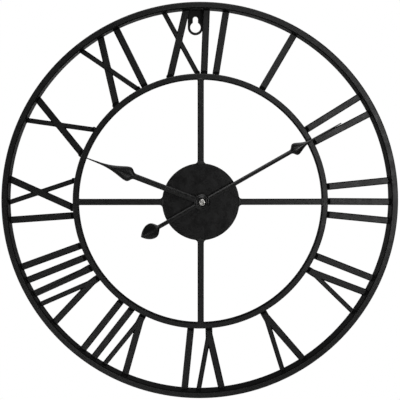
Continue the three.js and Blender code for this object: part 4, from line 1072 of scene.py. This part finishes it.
# Each light's name, place, aim and size in metres, and its power in watts.
LIGHTS = (
    ("right_softbox", (0.66, -2.0, 0.05), (0.66, 0.0, 0.05), (0.32, 0.5), 3.3),
    ("upper_softbox", (0.2, -2.0, 0.5), (0.2, 0.0, 0.5), (0.24, 0.28), 0.5),
    ("low_left_softbox", (-0.75, -5.0, -1.25), (-0.2, 0.0, -0.2), (0.9, 0.7), 5.6),
    ("top_front_softbox", (0.0, -1.6, 1.5), MIDDLE, (1.2, 0.5), 5.0),
    ("top_softbox", (0.0, -0.9, 1.6), MIDDLE, (1.2, 0.5), 6.5),
    ("top_left_softbox", (-0.7, -1.0, 1.2), MIDDLE, (0.7, 0.5), 2.2),
    ("left_softbox", (-1.4, -1.0, 0.2), MIDDLE, (0.6, 1.2), 3.2),
    ("back_right_softbox", (0.45, 1.2, -0.45), MIDDLE, BOX, 0.8),
    ("back_low_softbox", (0.0, 1.2, -0.6), MIDDLE, BOX, 0.42),
    ("back_left_fill", (-1.9, 1.6, 0.1), MIDDLE, (1.2, 1.6), 9.0),
    ("back_right_fill", (1.9, 1.6, 0.1), MIDDLE, (1.2, 1.6), 9.0),
    ("back_high_softbox", (0.3, 1.2, 0.6), MIDDLE, BOX, 0.1),
)


def stand(name, data, place, toward):
    """Puts a light or a camera in the scene at a place, looking along a direction."""
    made = bpy.data.objects.new(name, data)
    bpy.context.scene.collection.objects.link(made)
    made.location = place
    made.rotation_mode = "QUATERNION"
    made.rotation_quaternion = toward.to_track_quat("-Z", "Y")
    return made


class WALLCLOCK_OT_stage(bpy.types.Operator):
    """Sets the camera, the soft lights, the pale floor and the world"""

    bl_idname = "wallclock.stage"
    bl_label = "Stage"

    def execute(self, context):
        stage = settings().stage
        camera = bpy.data.cameras.new("camera")
        camera.lens = stage.lens
        camera.sensor_width = SENSOR_WIDTH
        camera.clip_start, camera.clip_end = 0.01, 20.0
        level = math.cos(stage.elevation)
        across, away = math.sin(stage.azimuth) * level, -math.cos(stage.azimuth) * level
        back = Vector((across, away, math.sin(stage.elevation)))
        aim = Vector((AIM[0], low("outer_ring")[1] * MM, AIM[1]))
        context.scene.camera = stand("camera", camera, aim + stage.distance * back, -back)
        for name, place, at, size, power in LIGHTS:
            light = bpy.data.lights.new(name, "AREA")
            light.shape = "RECTANGLE"
            light.size, light.size_y = size
            light.energy = power * stage.strength
            stand(name, light, place, Vector(at) - Vector(place))
        self.floor()
        self.world(context)
        context.scene.view_settings.view_transform = "Standard"
        return {"FINISHED"}

    def floor(self):
        """A pale floor under the clock: a thin disc turned about the upright through its middle."""
        top, under = FLOOR_HEIGHT, FLOOR_HEIGHT - FLOOR_DEPTH
        profile = [(0.01, top), (FLOOR_RADIUS, top), (FLOOR_RADIUS, under), (0.01, under)]
        x, z, y = turned(np.array(profile), 96)
        disc = skin(np.stack([x, y, z], -1))
        solid("pale_floor", [disc], matt_studio_paper, SMOOTH)

    def world(self, context):
        """A white surround for the eye, kept dim as a light so that the black stays black."""
        world = bpy.data.worlds.new("white studio")
        context.scene.world = world
        world.use_nodes = True
        world.node_tree.nodes.clear()
        seen = add(world, "ShaderNodeLightPath", out="Is Camera Ray")
        white = {"Color": (1.0, 1.0, 1.0, 1.0)}
        dim = add(world, "ShaderNodeBackground", white | {"Strength": 0.02})
        bright = add(world, "ShaderNodeBackground", white | {"Strength": 1.0})
        mixed = add(world, "ShaderNodeMixShader", {0: seen, 1: dim, 2: bright})
        add(world, "ShaderNodeOutputWorld", {"Surface": mixed})


# ---- add-on


class WALLCLOCK_PT_builders(bpy.types.Panel):
    """Lists the clock's builders in the sidebar"""

    bl_idname = "WALLCLOCK_PT_builders"
    bl_label = "Wall clock"
    bl_space_type = "VIEW_3D"
    bl_region_type = "UI"
    bl_category = "Wall clock"

    def draw(self, context):
        for builder in BUILDERS:
            self.layout.operator(builder.bl_idname)
        clock = context.scene.open_steel_clock
        for group in (clock.frame, clock.hands, clock.colours, clock.stage):
            box = self.layout.box()
            for name in group.__annotations__:
                box.prop(group, name)


BUILDERS = (
    WALLCLOCK_OT_rings,
    WALLCLOCK_OT_spokes,
    WALLCLOCK_OT_numerals,
    WALLCLOCK_OT_hands,
    WALLCLOCK_OT_nut,
    WALLCLOCK_OT_movement,
    WALLCLOCK_OT_cell,
    WALLCLOCK_OT_knob,
    WALLCLOCK_OT_stage,
)
GROUPS = (FrameSizes, HandSizes, FinishColours, StageSettings, ClockSettings)
CLASSES = (*GROUPS, *BUILDERS, WALLCLOCK_PT_builders)


def register():
    """Adds the classes and the scene's clock settings"""
    for each in CLASSES:
        bpy.utils.register_class(each)
    bpy.types.Scene.open_steel_clock = bpy.props.PointerProperty(type=ClockSettings)


def unregister():
    """Takes the settings and the classes away again"""
    del bpy.types.Scene.open_steel_clock
    for each in reversed(CLASSES):
        bpy.utils.unregister_class(each)


def main():
    register()
    for builder in BUILDERS:
        group, action = builder.bl_idname.split(".")
        getattr(getattr(bpy.ops, group), action)()


if __name__ == "__main__":
    main()
